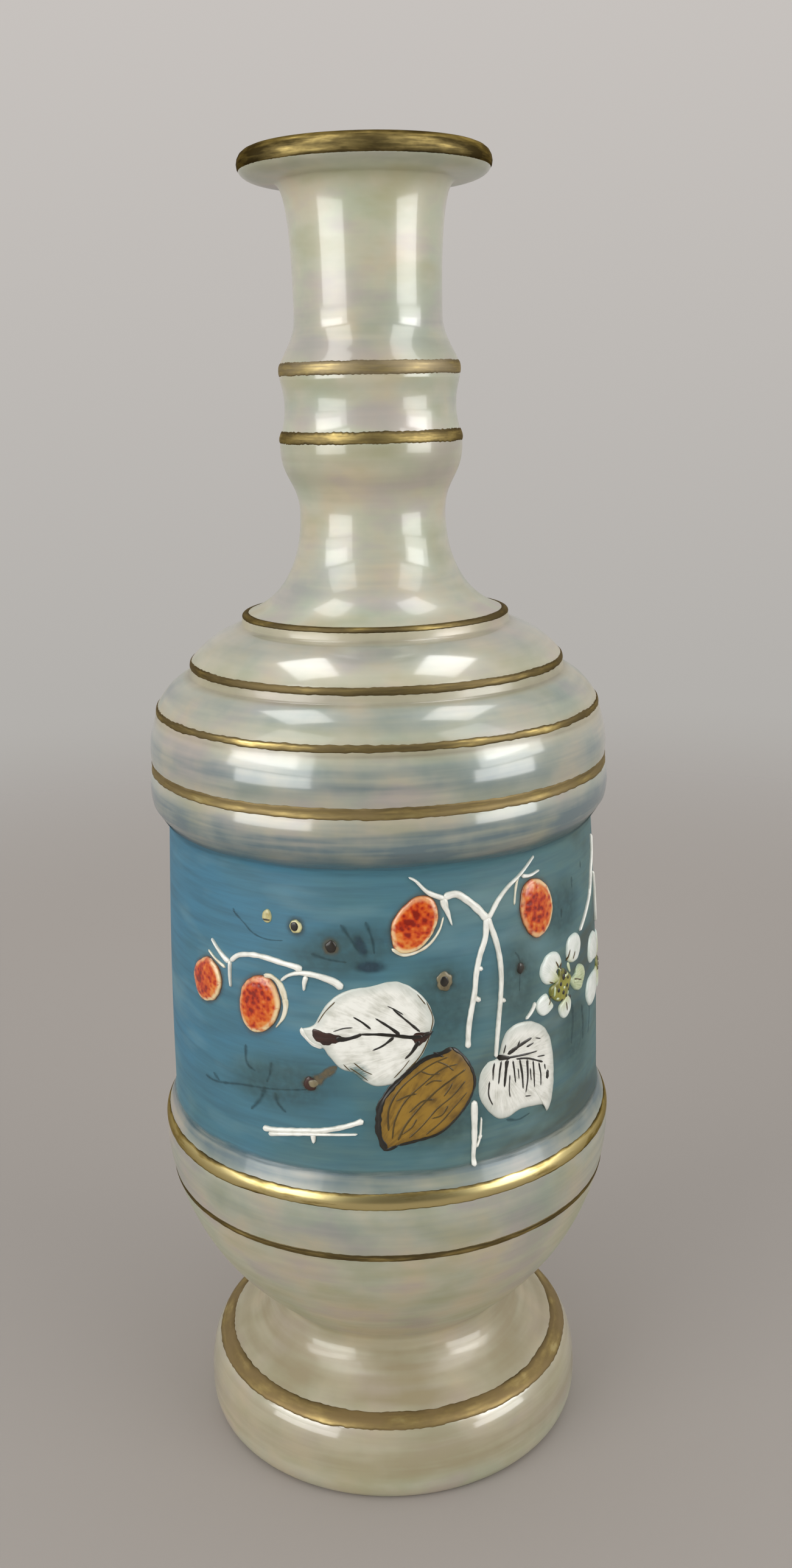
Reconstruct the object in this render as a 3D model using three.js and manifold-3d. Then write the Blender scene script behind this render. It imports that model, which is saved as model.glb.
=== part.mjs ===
// A footed decanter of mould-blown satin glass with a beehive shoulder, fired gilding,
// a blue ground round its barrel and a spray of raised enamel on the front.
// Millimetres, +Z up, the centre of the base at the origin and the spray facing -Y.
import * as THREE from "three";
import { mergeVertices } from "three/addons/utils/BufferGeometryUtils.js";
import Module from "manifold-3d";

const wasm = await Module();
wasm.setup();

// Foot: it stands on a flat ring round a hollow that is pushed up into the base.
const footRadius = 39.0;
const standInset = 2.6;
const standRingWidth = 5.4;
const hollowHeight = 7.0;
const footSideHeight = 5.5;
const footRimHeight = 16.3;
const footEdgeRadius = 34.8;

// Waist, bowl and the belly ring under the barrel. The ring's top edge is the widest line of
// the vessel, and every radius from the bowl up to the neck is set in from it.
const waistRise = 10.1;
const waistRadius = 25.1;
const bowlHeight = 30.6;
const bowlInset = 1.0;
const bellyRingHeight = 11.9;
const bellyRadius = 45.0;
const bellyBulge = 0.55;
const bellyLedgeHeight = 5.6;

// Barrel: a wall that flares a little towards its foot, bowed out on the way.
const barrelHeight = 55.0;
const barrelInset = 4.1;
const barrelFlare = 1.85;
const barrelBow = 1.6;

// Beehive shoulder: a slope out from the barrel and four rolls. The gilt line on the shoulder
// lies in the valley between the lower two, and the others end in a crease and an upright step.
const underSlopeHeight = 4.0;
const underRollHeight = 7.1;
const underRollInset = 1.2;
const underRollBulge = 0.95;
const shoulderInset = 1.5;
const shoulderBulge = 1.0;
const topRollHeight = 9.7;
const topRollWidth = 1.1;
const lowStepInset = 0.3;
const lowStepRise = 1.6;
const secondRollHeight = 5.8;
const secondRollWidth = 6.4;
const middleStepInset = 0.4;
const middleStepRise = 2.5;
const thirdRollHeight = 6.4;
const thirdRollWidth = 9.9;
const upperStepInset = 0.3;
const upperStepRise = 2.0;

// Neck with its two collars, and the turned-out lip.
const neckFlareHeight = 18.5;
const lowerNeckRadius = 13.6;
const lowerCollarHeight = 13.7;
const lowerCollarRadius = 16.8;
const collarGapHeight = 11.9;
const collarGapRadius = 15.0;
const upperCollarRadius = 16.5;
const upperCollarHeight = 9.3;
const upperNeckRadius = 13.45;
const upperNeckHeight = 22.5;
const lipHeight = 5.5;
const lipRadius = 22.5;
const lipOverhang = 6.4;
const lipRollWidth = 3.6;
const mouthDepth = 9.0;

// Glass, and the layers fired on it.
const wallThickness = 2.8;
const floorThickness = 5.0;
const groundThickness = 0.15;
const groundRise = 3.8;
const groundDrop = 1.9;
const giltThickness = 0.2;
const layerGap = 0.05;

// How finely the shapes are drawn: sides of what is turned, sides and rings of a daub, the
// spacing along the inside and along a stroke, and how far a chord may leave its curve.
const turnedSides = 36;
const berrySides = 16;
const leafSides = 22;
const dotSides = 9;
const berryRings = 2;
const leafRings = 3;
const petalRings = 2;
const dotRings = 1;
const levelStep = 2.0;
const strokeStep = 4.0;
const curveSteps = 32;
const shownTolerance = 0.3;
const hiddenTolerance = 0.9;

// Gilt lines: how far each reaches above and below the edge that it follows.
const lipBandDrop = 3.9;
const collarBandReach = 1.2;
const stepLineRise = 0.2;
const upperLineDrop = 0.7;
const middleLineDrop = 1.3;
const lowLineDrop = 1.4;
const shoulderBandReach = 1.1;
const bellyBandReach = 1.5;
const bellyLineReach = 0.9;
const footBandRise = 0.25;
const footBandDrop = 1.7;

// Raised enamel: how far each kind stands off the ground, and how wide the strokes are.
const berryRelief = 0.9;
const leafRelief = 0.5;
const petalRelief = 0.6;
const dotRelief = 0.4;
const stemRelief = 0.6;
const stemWidth = 1.1;
const twigWidth = 0.7;
const tipWidth = 0.35;

// Shapes of the bends between two edges: shares of the way across and up to the next edge.
const bends = {
  footUnder: [[1, 0]],
  footSide: [[0, 0.91]],
  footTop: [[1, 0.25]],
  bowl: [[0, 0.08], [0.75, 0.33]],
  roll: [[0.375, 0.75]],
  neckFlare: [[0.67, 0.11], [1, 0.5]],
  lowerCollar: [[0, 0.45], [1.19, 0.45]],
  upperCollar: [[0, 0.25], [1, 0.5]],
  neckToLip: [[0, 0.5], [0.18, 0.97]],
  lipUnderside: [[1, 0]],
  lipTop: [[0, 1]],
  mouth: [[1, 0.11]],
  floor: [[0, 1]],
  hollow: [[1, 0]],
};
const strokeTopShare = 0.6;
const daubRimShare = 0.4;

// Heights of the edges, added up from the base.
const waistZ = footRimHeight + waistRise;
const bellyLineZ = waistZ + bowlHeight;
const bellyBandZ = bellyLineZ + bellyRingHeight;
const barrelFootZ = bellyBandZ + bellyLedgeHeight;
const barrelTopZ = barrelFootZ + barrelHeight;
const underRollZ = barrelTopZ + underSlopeHeight;
const shoulderZ = underRollZ + underRollHeight;
const lowCreaseZ = shoulderZ + topRollHeight;
const lowStepZ = lowCreaseZ + lowStepRise;
const middleCreaseZ = lowStepZ + secondRollHeight;
const middleStepZ = middleCreaseZ + middleStepRise;
const upperCreaseZ = middleStepZ + thirdRollHeight;
const upperStepZ = upperCreaseZ + upperStepRise;
const lowerNeckZ = upperStepZ + neckFlareHeight;
const lowerCollarZ = lowerNeckZ + lowerCollarHeight;
const upperCollarZ = lowerCollarZ + collarGapHeight;
const upperNeckZ = upperCollarZ + upperCollarHeight;
const lipUndersideZ = upperNeckZ + upperNeckHeight;
const mouthZ = lipUndersideZ + lipHeight;
const mouthEdge = [lipRadius - lipRollWidth, mouthZ];

// Radii of the edges, set in one after another.
const standRadius = footRadius - standInset;
const bowlRadius = bellyRadius - bowlInset;
const barrelRadius = bellyRadius - barrelInset;
const underRollRadius = bellyRadius - underRollInset;
const shoulderRadius = bellyRadius - shoulderInset;
const lowCreaseRadius = shoulderRadius - topRollWidth;
const lowStepRadius = lowCreaseRadius - lowStepInset;
const middleCreaseRadius = lowStepRadius - secondRollWidth;
const middleStepRadius = middleCreaseRadius - middleStepInset;
const upperCreaseRadius = middleStepRadius - thirdRollWidth;
const upperStepRadius = upperCreaseRadius - upperStepInset;

// Drops points that lie within the tolerance of the straight line between their neighbours.
function thinned(points, tolerance) {
  const first = new THREE.Vector2(...points[0]);
  const last = new THREE.Vector2(...points[points.length - 1]);
  const chord = last.clone().sub(first);
  let far = 0;
  let farthest = tolerance;
  for (let i = 1; i < points.length - 1; i += 1) {
    const away = Math.abs(new THREE.Vector2(...points[i]).sub(first).cross(chord)) / chord.length();
    if (away > farthest) {
      far = i;
      farthest = away;
    }
  }
  if (far === 0) {
    return [points[0], points[points.length - 1]];
  }
  const lower = thinned(points.slice(0, far + 1), tolerance);
  return [...lower.slice(0, -1), ...thinned(points.slice(far), tolerance)];
}

// A curve as [radius, height] pairs through its ends, pulled towards one or two controls.
function curved(from, controls, to, tolerance) {
  const points = [from, ...controls, to].map(([radius, height]) => new THREE.Vector2(radius, height));
  const curve = controls.length === 1
    ? new THREE.QuadraticBezierCurve(...points)
    : new THREE.CubicBezierCurve(...points);
  return thinned(curve.getPoints(curveSteps).map((point) => [point.x, point.y]), tolerance);
}

// A bend from one edge to the next, with its controls as shares of the way between them.
function bent(from, to, shares, tolerance = shownTolerance) {
  const controls = shares.map(([across, up]) => [
    THREE.MathUtils.lerp(from[0], to[0], across),
    THREE.MathUtils.lerp(from[1], to[1], up),
  ]);
  return curved(from, controls, to, tolerance);
}

// A bow from one edge to the next, whose control lies at a radius half-way up.
function bowed(from, to, radius) {
  return curved(from, [[radius, (from[1] + to[1]) / 2]], to, shownTolerance);
}

// Stretches end to end, with the points that two of them share written once.
function endToEnd(...stretches) {
  const points = stretches.flat();
  return points.filter(([radius, height], i) => {
    const next = points[i + 1];
    return !next || Math.hypot(next[0] - radius, next[1] - height) > layerGap;
  });
}

// The outline of the glass from the standing ring up to the top of the lip.
function outerOutline() {
  const stand = [standRadius, 0];
  const footSide = [footRadius, footSideHeight];
  const footEdge = [footEdgeRadius, footRimHeight];
  const waist = [waistRadius, waistZ];
  const bowlTop = [bowlRadius, bellyLineZ];
  const bellyTop = [bellyRadius, bellyBandZ];
  const barrelFoot = [barrelRadius + barrelFlare, barrelFootZ];
  const barrelTop = [barrelRadius, barrelTopZ];
  const underRoll = [underRollRadius, underRollZ];
  const shoulder = [shoulderRadius, shoulderZ];
  const lowCrease = [lowCreaseRadius, lowCreaseZ];
  const lowStep = [lowStepRadius, lowStepZ];
  const middleCrease = [middleCreaseRadius, middleCreaseZ];
  const middleStep = [middleStepRadius, middleStepZ];
  const upperCrease = [upperCreaseRadius, upperCreaseZ];
  const upperStep = [upperStepRadius, upperStepZ];
  const lowerNeck = [lowerNeckRadius, lowerNeckZ];
  const lowerCollar = [lowerCollarRadius, lowerCollarZ];
  const upperCollar = [upperCollarRadius, upperCollarZ];
  const upperNeck = [upperNeckRadius, upperNeckZ];
  const lipUnderside = [lipRadius - lipOverhang, lipUndersideZ];
  const lipSide = [lipRadius, lipUndersideZ + lipHeight / 2];
  return endToEnd(
    bent(stand, footSide, bends.footUnder),
    bent(footSide, footEdge, bends.footSide),
    bent(footEdge, waist, bends.footTop),
    bent(waist, bowlTop, bends.bowl),
    bowed(bowlTop, bellyTop, bellyRadius + bellyBulge),
    bowed(barrelFoot, barrelTop, barrelRadius + barrelBow),
    [barrelTop, underRoll],
    bowed(underRoll, shoulder, underRollRadius + underRollBulge),
    bowed(shoulder, lowCrease, shoulderRadius + shoulderBulge),
    bent(lowStep, middleCrease, bends.roll),
    bent(middleStep, upperCrease, bends.roll),
    bent(upperStep, lowerNeck, bends.neckFlare),
    bent(lowerNeck, lowerCollar, bends.lowerCollar),
    bowed(lowerCollar, upperCollar, collarGapRadius),
    bent(upperCollar, upperNeck, bends.upperCollar),
    bent(upperNeck, lipUnderside, bends.neckToLip),
    bent(lipUnderside, lipSide, bends.lipUnderside),
    bent(lipSide, mouthEdge, bends.lipTop),
  );
}

const outline = outerOutline();

function outerRadiusAt(height) {
  const above = outline.findIndex(([, z]) => z >= height);
  if (above < 1) {
    return outline[above < 0 ? outline.length - 1 : 0][0];
  }
  const [lowRadius, lowZ] = outline[above - 1];
  const [highRadius, highZ] = outline[above];
  return THREE.MathUtils.mapLinear(height, lowZ, highZ, lowRadius, highRadius);
}

// Blown glass keeps its wall everywhere, so the inside is the outline moved in by the wall,
// which softens the steps and collars.
function innerRadiusAt(height) {
  let radius = Infinity;
  const tries = 6;
  for (let i = -tries; i <= tries; i += 1) {
    const offset = (wallThickness * i) / tries;
    const reach = Math.sqrt(wallThickness ** 2 - offset ** 2);
    radius = Math.min(radius, outerRadiusAt(height + offset) - reach);
  }
  return radius;
}

// The inside from the mouth's edge down to the rounded floor in the foot.
function innerOutline() {
  const throatZ = mouthZ - mouthDepth;
  const levels = [];
  const count = Math.ceil((throatZ - waistZ) / levelStep);
  for (let i = 0; i <= count; i += 1) {
    const height = THREE.MathUtils.lerp(throatZ, waistZ, i / count);
    levels.push([innerRadiusAt(height), height]);
  }
  const floorMiddle = [0, hollowHeight + floorThickness];
  return endToEnd(
    bent(mouthEdge, levels[0], bends.mouth),
    thinned(levels, hiddenTolerance),
    bent(levels[count], floorMiddle, bends.floor, hiddenTolerance),
  );
}

// A closed or axis-to-axis profile turned round the upright axis.
function turned(profile) {
  const points = profile.map(([radius, height]) => new THREE.Vector2(radius, height));
  return new THREE.LatheGeometry(points, turnedSides).rotateX(Math.PI / 2);
}

function glassProfile() {
  const hollow = bent([0, hollowHeight], [standRadius - standRingWidth, 0], bends.hollow, hiddenTolerance);
  return endToEnd(hollow, outline, innerOutline());
}

// The part of the outline between two heights, with its ends cut at them.
function outlineBetween(low, high) {
  const inside = outline.filter(([, z]) => z > low && z < high);
  return [[outerRadiusAt(low), low], ...inside, [outerRadiusAt(high), high]];
}

// The same run of outline moved out from the glass, with its corners kept square.
function movedOut(run, distance) {
  const points = run.map(([radius, height]) => new THREE.Vector2(radius, height));
  const normals = points.slice(1).map((point, i) => {
    const along = point.clone().sub(points[i]).normalize();
    return new THREE.Vector2(along.y, -along.x);
  });
  return points.map((point, i) => {
    const before = normals[Math.max(i - 1, 0)];
    const after = normals[Math.min(i, normals.length - 1)];
    const corner = before.clone().add(after).normalize();
    const moved = corner.multiplyScalar(distance / corner.dot(before)).add(point);
    return [moved.x, moved.y];
  });
}

// A layer fired on the outside of the glass between two heights.
function layer(low, high, thickness) {
  const run = outlineBetween(low, high);
  const outside = movedOut(run, layerGap + thickness);
  const inside = movedOut(run, layerGap);
  return turned([...outside, ...inside.reverse(), outside[0]]);
}

// The spray is drawn in millimetres on the unrolled barrel: across from the middle of the
// front, up from the barrel's foot. A shorter or taller barrel draws it in or out.
const drawnBarrelHeight = 56.3;
const enamelLift = groundThickness + 2 * layerGap;

function onBarrel(across, up, relief) {
  const angle = across / (barrelRadius + barrelFlare / 2);
  const height = barrelFootZ + (up * barrelHeight) / drawnBarrelHeight;
  const radius = outerRadiusAt(height) + enamelLift + relief;
  return [radius * Math.sin(angle), -radius * Math.cos(angle), height];
}

function meshFrom(positions, index) {
  const geometry = new THREE.BufferGeometry();
  geometry.setAttribute("position", new THREE.Float32BufferAttribute(positions.flat(), 3));
  return geometry.setIndex(index);
}

// An oval as points on the unrolled barrel, counter-clockwise, its long axis tilted to the right.
function oval([across, up], [halfWidth, halfHeight], tiltDegrees, sides) {
  const tilt = THREE.MathUtils.degToRad(tiltDegrees);
  return Array.from({ length: sides }, (_, i) => {
    const turn = (2 * Math.PI * i) / sides;
    const x = halfWidth * Math.cos(turn);
    const y = halfHeight * Math.sin(turn);
    return [
      across + x * Math.cos(tilt) + y * Math.sin(tilt),
      up - x * Math.sin(tilt) + y * Math.cos(tilt),
    ];
  });
}

// A smooth closed outline through a few drawn points, counter-clockwise.
function smoothOutline(points, sides) {
  const drawn = points.map(([across, up]) => new THREE.Vector3(across, up, 0));
  const curve = new THREE.CatmullRomCurve3(drawn, true, "centripetal");
  return curve.getSpacedPoints(sides).slice(0, sides).map((point) => [point.x, point.y]);
}

// A daub of enamel: a crowned top over the outline, a wall at its rim and a back on the ground.
function daub(rim, relief, rings) {
  const middle = [0, 1].map((axis) => rim.reduce((sum, point) => sum + point[axis], 0) / rim.length);
  const positions = [];
  const index = [];
  for (const side of ["top", "back"]) {
    const start = positions.length;
    const liftAt = (share) => (side === "back" ? 0
      : relief * THREE.MathUtils.lerp(daubRimShare, 1, Math.sqrt(1 - share * share)));
    positions.push(onBarrel(...middle, liftAt(0)));
    for (let ring = 1; ring <= rings; ring += 1) {
      const share = ring / rings;
      for (const [across, up] of rim) {
        const place = [
          THREE.MathUtils.lerp(middle[0], across, share),
          THREE.MathUtils.lerp(middle[1], up, share),
        ];
        positions.push(onBarrel(...place, liftAt(share)));
      }
    }
    const at = (ring, i) => start + (ring === 0 ? 0 : 1 + (ring - 1) * rim.length + (i % rim.length));
    const face = (...corners) => index.push(...(side === "top" ? corners : corners.reverse()));
    for (let i = 0; i < rim.length; i += 1) {
      face(at(0, 0), at(1, i), at(1, i + 1));
      for (let ring = 1; ring < rings; ring += 1) {
        face(at(ring, i), at(ring + 1, i), at(ring + 1, i + 1));
        face(at(ring, i), at(ring + 1, i + 1), at(ring, i + 1));
      }
    }
  }
  const topRim = 1 + (rings - 1) * rim.length;
  const backRim = topRim + 1 + rings * rim.length;
  for (let i = 0; i < rim.length; i += 1) {
    const next = (i + 1) % rim.length;
    index.push(backRim + i, backRim + next, topRim + next);
    index.push(backRim + i, topRim + next, topRim + i);
  }
  return meshFrom(positions, index);
}

// A brush stroke through drawn points: narrower along its top, tapered over its length.
function stroke(points, startWidth, endWidth) {
  const drawn = points.map(([across, up]) => new THREE.Vector3(across, up, 0));
  const curve = new THREE.CatmullRomCurve3(drawn, false, "centripetal");
  const steps = Math.max(2, Math.round(curve.getLength() / strokeStep));
  const topEdge = strokeTopShare / 2;
  const section = [[-0.5, 0], [0.5, 0], [topEdge, stemRelief], [-topEdge, stemRelief]];
  const positions = [];
  const index = [];
  for (let i = 0; i <= steps; i += 1) {
    const share = i / steps;
    const place = curve.getPointAt(share);
    const along = curve.getTangentAt(share);
    const width = THREE.MathUtils.lerp(startWidth, endWidth, share);
    for (const [sideways, relief] of section) {
      const across = place.x + along.y * sideways * width;
      const up = place.y - along.x * sideways * width;
      positions.push(onBarrel(across, up, relief));
    }
  }
  for (let i = 0; i < steps; i += 1) {
    for (let j = 0; j < 4; j += 1) {
      const here = i * 4 + j;
      const beside = i * 4 + ((j + 1) % 4);
      index.push(here, here + 4, beside + 4, here, beside + 4, beside);
    }
  }
  const end = steps * 4;
  index.push(0, 1, 2, 0, 2, 3, end, end + 2, end + 1, end, end + 3, end + 2);
  return meshFrom(positions, index);
}

function solidFrom(geometry) {
  const plain = geometry.clone();
  plain.deleteAttribute("normal");
  plain.deleteAttribute("uv");
  const merged = mergeVertices(plain);
  return new wasm.Manifold(new wasm.Mesh({
    numProp: 3,
    vertProperties: new Float32Array(merged.attributes.position.array),
    triVerts: new Uint32Array(merged.index.array),
  }));
}

// Strokes that cross or branch, run together into one body.
function runTogether(strokes) {
  const joined = strokes.map(solidFrom).reduce((all, next) => all.add(next));
  const { vertProperties, triVerts, numProp } = joined.getMesh();
  const geometry = new THREE.BufferGeometry();
  geometry.setAttribute("position", new THREE.BufferAttribute(vertProperties, numProp));
  return geometry.setIndex(new THREE.BufferAttribute(triVerts, 1));
}

const finishes = {
  satinGlass: { color: 0xb3ada0, roughness: 0.38, metalness: 0, transparent: true, opacity: 0.75 },
  gilding: { color: 0x8f7b45, roughness: 0.42, metalness: 1 },
  blueGround: { color: 0x4f8092, roughness: 0.5, metalness: 0 },
  whiteEnamel: { color: 0xeef1ea, roughness: 0.35, metalness: 0 },
  redEnamel: { color: 0xd4501c, roughness: 0.3, metalness: 0 },
  goldEnamel: { color: 0x8a6a22, roughness: 0.45, metalness: 0.4 },
  darkEnamel: { color: 0x2c2a22, roughness: 0.4, metalness: 0 },
  greenEnamel: { color: 0xa9a552, roughness: 0.4, metalness: 0 },
};

const decanter = new THREE.Group();

function add(name, geometry, finish) {
  const material = new THREE.MeshStandardMaterial({ name: finish, ...finishes[finish] });
  const mesh = new THREE.Mesh(geometry, material);
  mesh.name = name;
  decanter.add(mesh);
}

add("glass_body", turned(glassProfile()), "satinGlass");
const groundLow = barrelFootZ - groundDrop;
add("blue_ground", layer(groundLow, barrelTopZ + groundRise, groundThickness), "blueGround");

// Gilding along the lip, the collars, the shoulder's steps, the belly and the foot.
const giltLines = {
  gilt_lip_band: [mouthZ - lipBandDrop, mouthZ],
  gilt_upper_collar_band: [upperCollarZ - collarBandReach, upperCollarZ + collarBandReach],
  gilt_lower_collar_band: [lowerCollarZ - collarBandReach, lowerCollarZ + collarBandReach],
  gilt_upper_step_line: [upperStepZ - upperLineDrop, upperStepZ + stepLineRise],
  gilt_middle_step_line: [middleStepZ - middleLineDrop, middleStepZ + stepLineRise],
  gilt_low_step_line: [lowStepZ - lowLineDrop, lowStepZ + stepLineRise],
  gilt_shoulder_band: [shoulderZ - shoulderBandReach, shoulderZ + shoulderBandReach],
  gilt_belly_band: [bellyBandZ - bellyBandReach, bellyBandZ + bellyBandReach],
  gilt_belly_line: [bellyLineZ - bellyLineReach, bellyLineZ + bellyLineReach],
  gilt_foot_band: [footRimHeight - footBandDrop, footRimHeight + footBandRise],
};
for (const [name, [low, high]] of Object.entries(giltLines)) {
  add(name, layer(low, high, giltThickness), "gilding");
}

// Berries: [middle], [half width, half height], tilt to the right in degrees.
const berries = {
  berry_far_left: [[-37.9, 30.3], [4.9, 4.6], 0],
  berry_left: [[-23.5, 29.4], [5.1, 5.6], 0],
  berry_middle: [[5.7, 45.6], [4.4, 5.3], 22],
  berry_right: [[30.2, 44.3], [5.0, 5.2], 0],
};
for (const [name, [middle, halves, tilt]] of Object.entries(berries)) {
  add(name, daub(oval(middle, halves, tilt, berrySides), berryRelief, berryRings), "redEnamel");
}

// Leaves, each drawn round its edge from the tip.
const leaves = {
  leaf_white_left: ["whiteEnamel", [
    [-15.2, 26.0], [-13.2, 23.4], [-8.7, 19.6], [-2.9, 16.8], [1.9, 18.0],
    [7.0, 22.8], [8.6, 26.8], [7.0, 31.2], [1.2, 34.8], [-5.7, 33.6], [-11.4, 29.8],
  ]],
  leaf_gold: ["goldEnamel", [
    [-1.3, 3.8], [4.4, 4.6], [10.7, 7.2], [14.9, 12.0], [15.2, 16.6],
    [12.2, 21.3], [6.0, 19.4], [0.8, 14.6], [-1.6, 8.7],
  ]],
  leaf_white_right: ["whiteEnamel", [
    [20.8, 17.2], [17.6, 15.9], [17.3, 11.1], [20.6, 6.9], [27.0, 6.7],
    [32.3, 4.2], [34.4, 10.5], [33.8, 18.0], [28.2, 22.6], [23.0, 21.8],
  ]],
};
for (const [name, [finish, edge]] of Object.entries(leaves)) {
  add(name, daub(smoothOutline(edge, leafSides), leafRelief, leafRings), finish);
}

// Stems: each spray is a few strokes, with their drawn points from the root to the tip.
const stem = (...points) => stroke(points, stemWidth, stemWidth);
const tapering = (...points) => stroke(points, stemWidth, tipWidth);
const twig = (...points) => stroke(points, twigWidth, twigWidth);
const stems = {
  stem_left: [
    stem([-31.2, 35.4], [-28.2, 37.6], [-20.4, 38.3], [-14.3, 36.6]),
    tapering([-8.3, 34.9], [-14.6, 36.5], [-19.2, 34.9]),
    tapering([-31.0, 35.8], [-32.8, 36.7], [-35.6, 38.9]),
    tapering([-30.9, 36.2], [-30.8, 31.1]),
    tapering([-14.6, 36.6], [-14.6, 33.1]),
  ],
  stem_middle: [
    tapering([19.6, 45.0], [13.7, 50.0], [8.4, 51.9], [4.6, 54.4]),
    stem([19.6, 45.5], [18.8, 42.3], [16.4, 31.3], [15.0, 22.2]),
    stem([19.6, 45.5], [21.0, 41.9], [21.8, 33.4], [20.4, 18.7]),
    tapering([20.0, 45.0], [21.6, 48.1], [27.1, 51.4], [30.1, 54.6]),
    tapering([11.0, 50.8], [11.5, 47.8], [12.4, 44.6]),
    tapering([26.2, 50.9], [31.0, 51.5]),
    tapering([25.6, 50.9], [24.4, 47.8]),
    tapering([17.1, 34.2], [18.9, 35.2]),
    tapering([16.2, 29.2], [18.2, 30.2]),
    tapering([21.6, 28.0], [23.2, 28.6]),
  ],
  stem_lower: [
    stem([16.1, 10.4], [15.7, 6.7], [15.4, 0.6]),
    twig([15.9, 9.4], [17.0, 7.8], [17.0, 3.6]),
  ],
  stem_right: [
    stem([52.8, 51.6], [55.0, 45.3], [52.4, 40.6], [46.6, 36.6]),
    tapering([54.9, 45.0], [57.3, 39.5], [57.9, 32.0]),
  ],
  twig_low: [
    stem([-24.1, 4.9], [-16.6, 6.0], [-10.4, 7.2], [-3.7, 9.3]),
    twig([-22.7, 4.5], [-13.5, 5.9], [-4.9, 6.7]),
    tapering([-13.6, 6.4], [-13.5, 4.3]),
  ],
  twig_short: [
    tapering([27.8, 24.4], [29.4, 25.5], [31.0, 28.0]),
  ],
};
for (const [name, strokes] of Object.entries(stems)) {
  add(name, runTogether(strokes), "whiteEnamel");
}

// Petals, hearts, dots and a bud: finish, [middle], [half width, half height], tilt.
const petals = {
  blossom_petal_1: ["whiteEnamel", [34.5, 31.9], [3.0, 2.9], 0],
  blossom_petal_2: ["whiteEnamel", [42.9, 32.9], [2.3, 3.0], 10],
  blossom_petal_3: ["greenEnamel", [45.8, 26.4], [2.0, 2.4], 0],
  blossom_petal_4: ["whiteEnamel", [32.5, 25.1], [2.1, 2.4], 20],
  blossom_petal_5: ["whiteEnamel", [39.0, 22.4], [1.8, 2.2], 0],
  blossom_heart: ["greenEnamel", [38.6, 27.9], [2.2, 2.8], 0],
  side_blossom_petal_1: ["whiteEnamel", [56.4, 28.4], [2.6, 2.7], 0],
  side_blossom_petal_2: ["whiteEnamel", [55.2, 20.6], [2.3, 2.4], 0],
  side_blossom_petal_3: ["whiteEnamel", [62.4, 27.0], [2.5, 2.6], 0],
  side_blossom_petal_4: ["whiteEnamel", [61.6, 20.0], [2.4, 2.4], 0],
  side_blossom_heart: ["greenEnamel", [58.6, 24.0], [1.8, 1.8], 0],
};
const dots = {
  dot_pale: ["goldEnamel", [-21.3, 45.6], [0.9, 1.0], 0],
  dot_gold: ["goldEnamel", [-15.9, 44.3], [1.2, 1.2], 0],
  dot_dark_left: ["darkEnamel", [-9.5, 41.7], [1.3, 1.2], 0],
  dot_dark_middle: ["darkEnamel", [10.7, 34.7], [1.4, 1.6], 0],
  dot_dark_right: ["darkEnamel", [26.2, 34.1], [0.9, 1.1], 0],
  bud_gold: ["goldEnamel", [-13.4, 16.1], [1.4, 1.3], 0],
};
for (const [small, relief, rings] of [[petals, petalRelief, petalRings], [dots, dotRelief, dotRings]]) {
  for (const [name, [finish, middle, halves, tilt]] of Object.entries(small)) {
    add(name, daub(oval(middle, halves, tilt, dotSides), relief, rings), finish);
  }
}

export default decanter;
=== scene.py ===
import math

import bpy
import numpy as np
from mathutils import Matrix, Vector, noise
from mathutils.bvhtree import BVHTree


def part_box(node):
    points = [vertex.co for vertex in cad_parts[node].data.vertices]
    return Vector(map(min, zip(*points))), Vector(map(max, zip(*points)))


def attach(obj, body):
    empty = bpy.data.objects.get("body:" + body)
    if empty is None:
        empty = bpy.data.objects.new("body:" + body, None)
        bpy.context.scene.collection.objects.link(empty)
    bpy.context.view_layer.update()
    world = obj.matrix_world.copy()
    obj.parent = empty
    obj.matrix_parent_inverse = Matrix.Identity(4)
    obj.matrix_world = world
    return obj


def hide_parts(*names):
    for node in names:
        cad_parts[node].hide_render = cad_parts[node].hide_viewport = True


# A footed decanter of mould-blown satin glass, with fired gilding, a blue ground round its
# barrel and a spray of raised enamel on the front. Metres, +Z up, the spray faces -Y.
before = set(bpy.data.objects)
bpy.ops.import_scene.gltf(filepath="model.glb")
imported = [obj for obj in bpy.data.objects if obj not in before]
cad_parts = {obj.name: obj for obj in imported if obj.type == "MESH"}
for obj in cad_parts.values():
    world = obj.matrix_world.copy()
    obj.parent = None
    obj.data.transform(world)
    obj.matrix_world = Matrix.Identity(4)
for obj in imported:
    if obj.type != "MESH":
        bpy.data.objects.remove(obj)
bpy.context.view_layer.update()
mm = 0.001
print("frame:", len(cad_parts), "nodes")


def linearColour(hexText):
    channels = [int(hexText[i:i + 2], 16) / 255 for i in (1, 3, 5)]
    return (*(c / 12.92 if c <= 0.04045 else ((c + 0.055) / 1.055) ** 2.4 for c in channels), 1.0)


# Fills a node's sockets, by name or number, or in order where they come as a tuple: a Map
# Range's are the value, the range it comes from and the range it goes to. Outputs are linked.
def fillSockets(tree, node, sockets):
    for socket, value in sockets.items() if isinstance(sockets, dict) else enumerate(sockets):
        if isinstance(value, bpy.types.NodeSocket):
            tree.links.new(value, node.inputs[socket])
        else:
            node.inputs[socket].default_value = value


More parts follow.
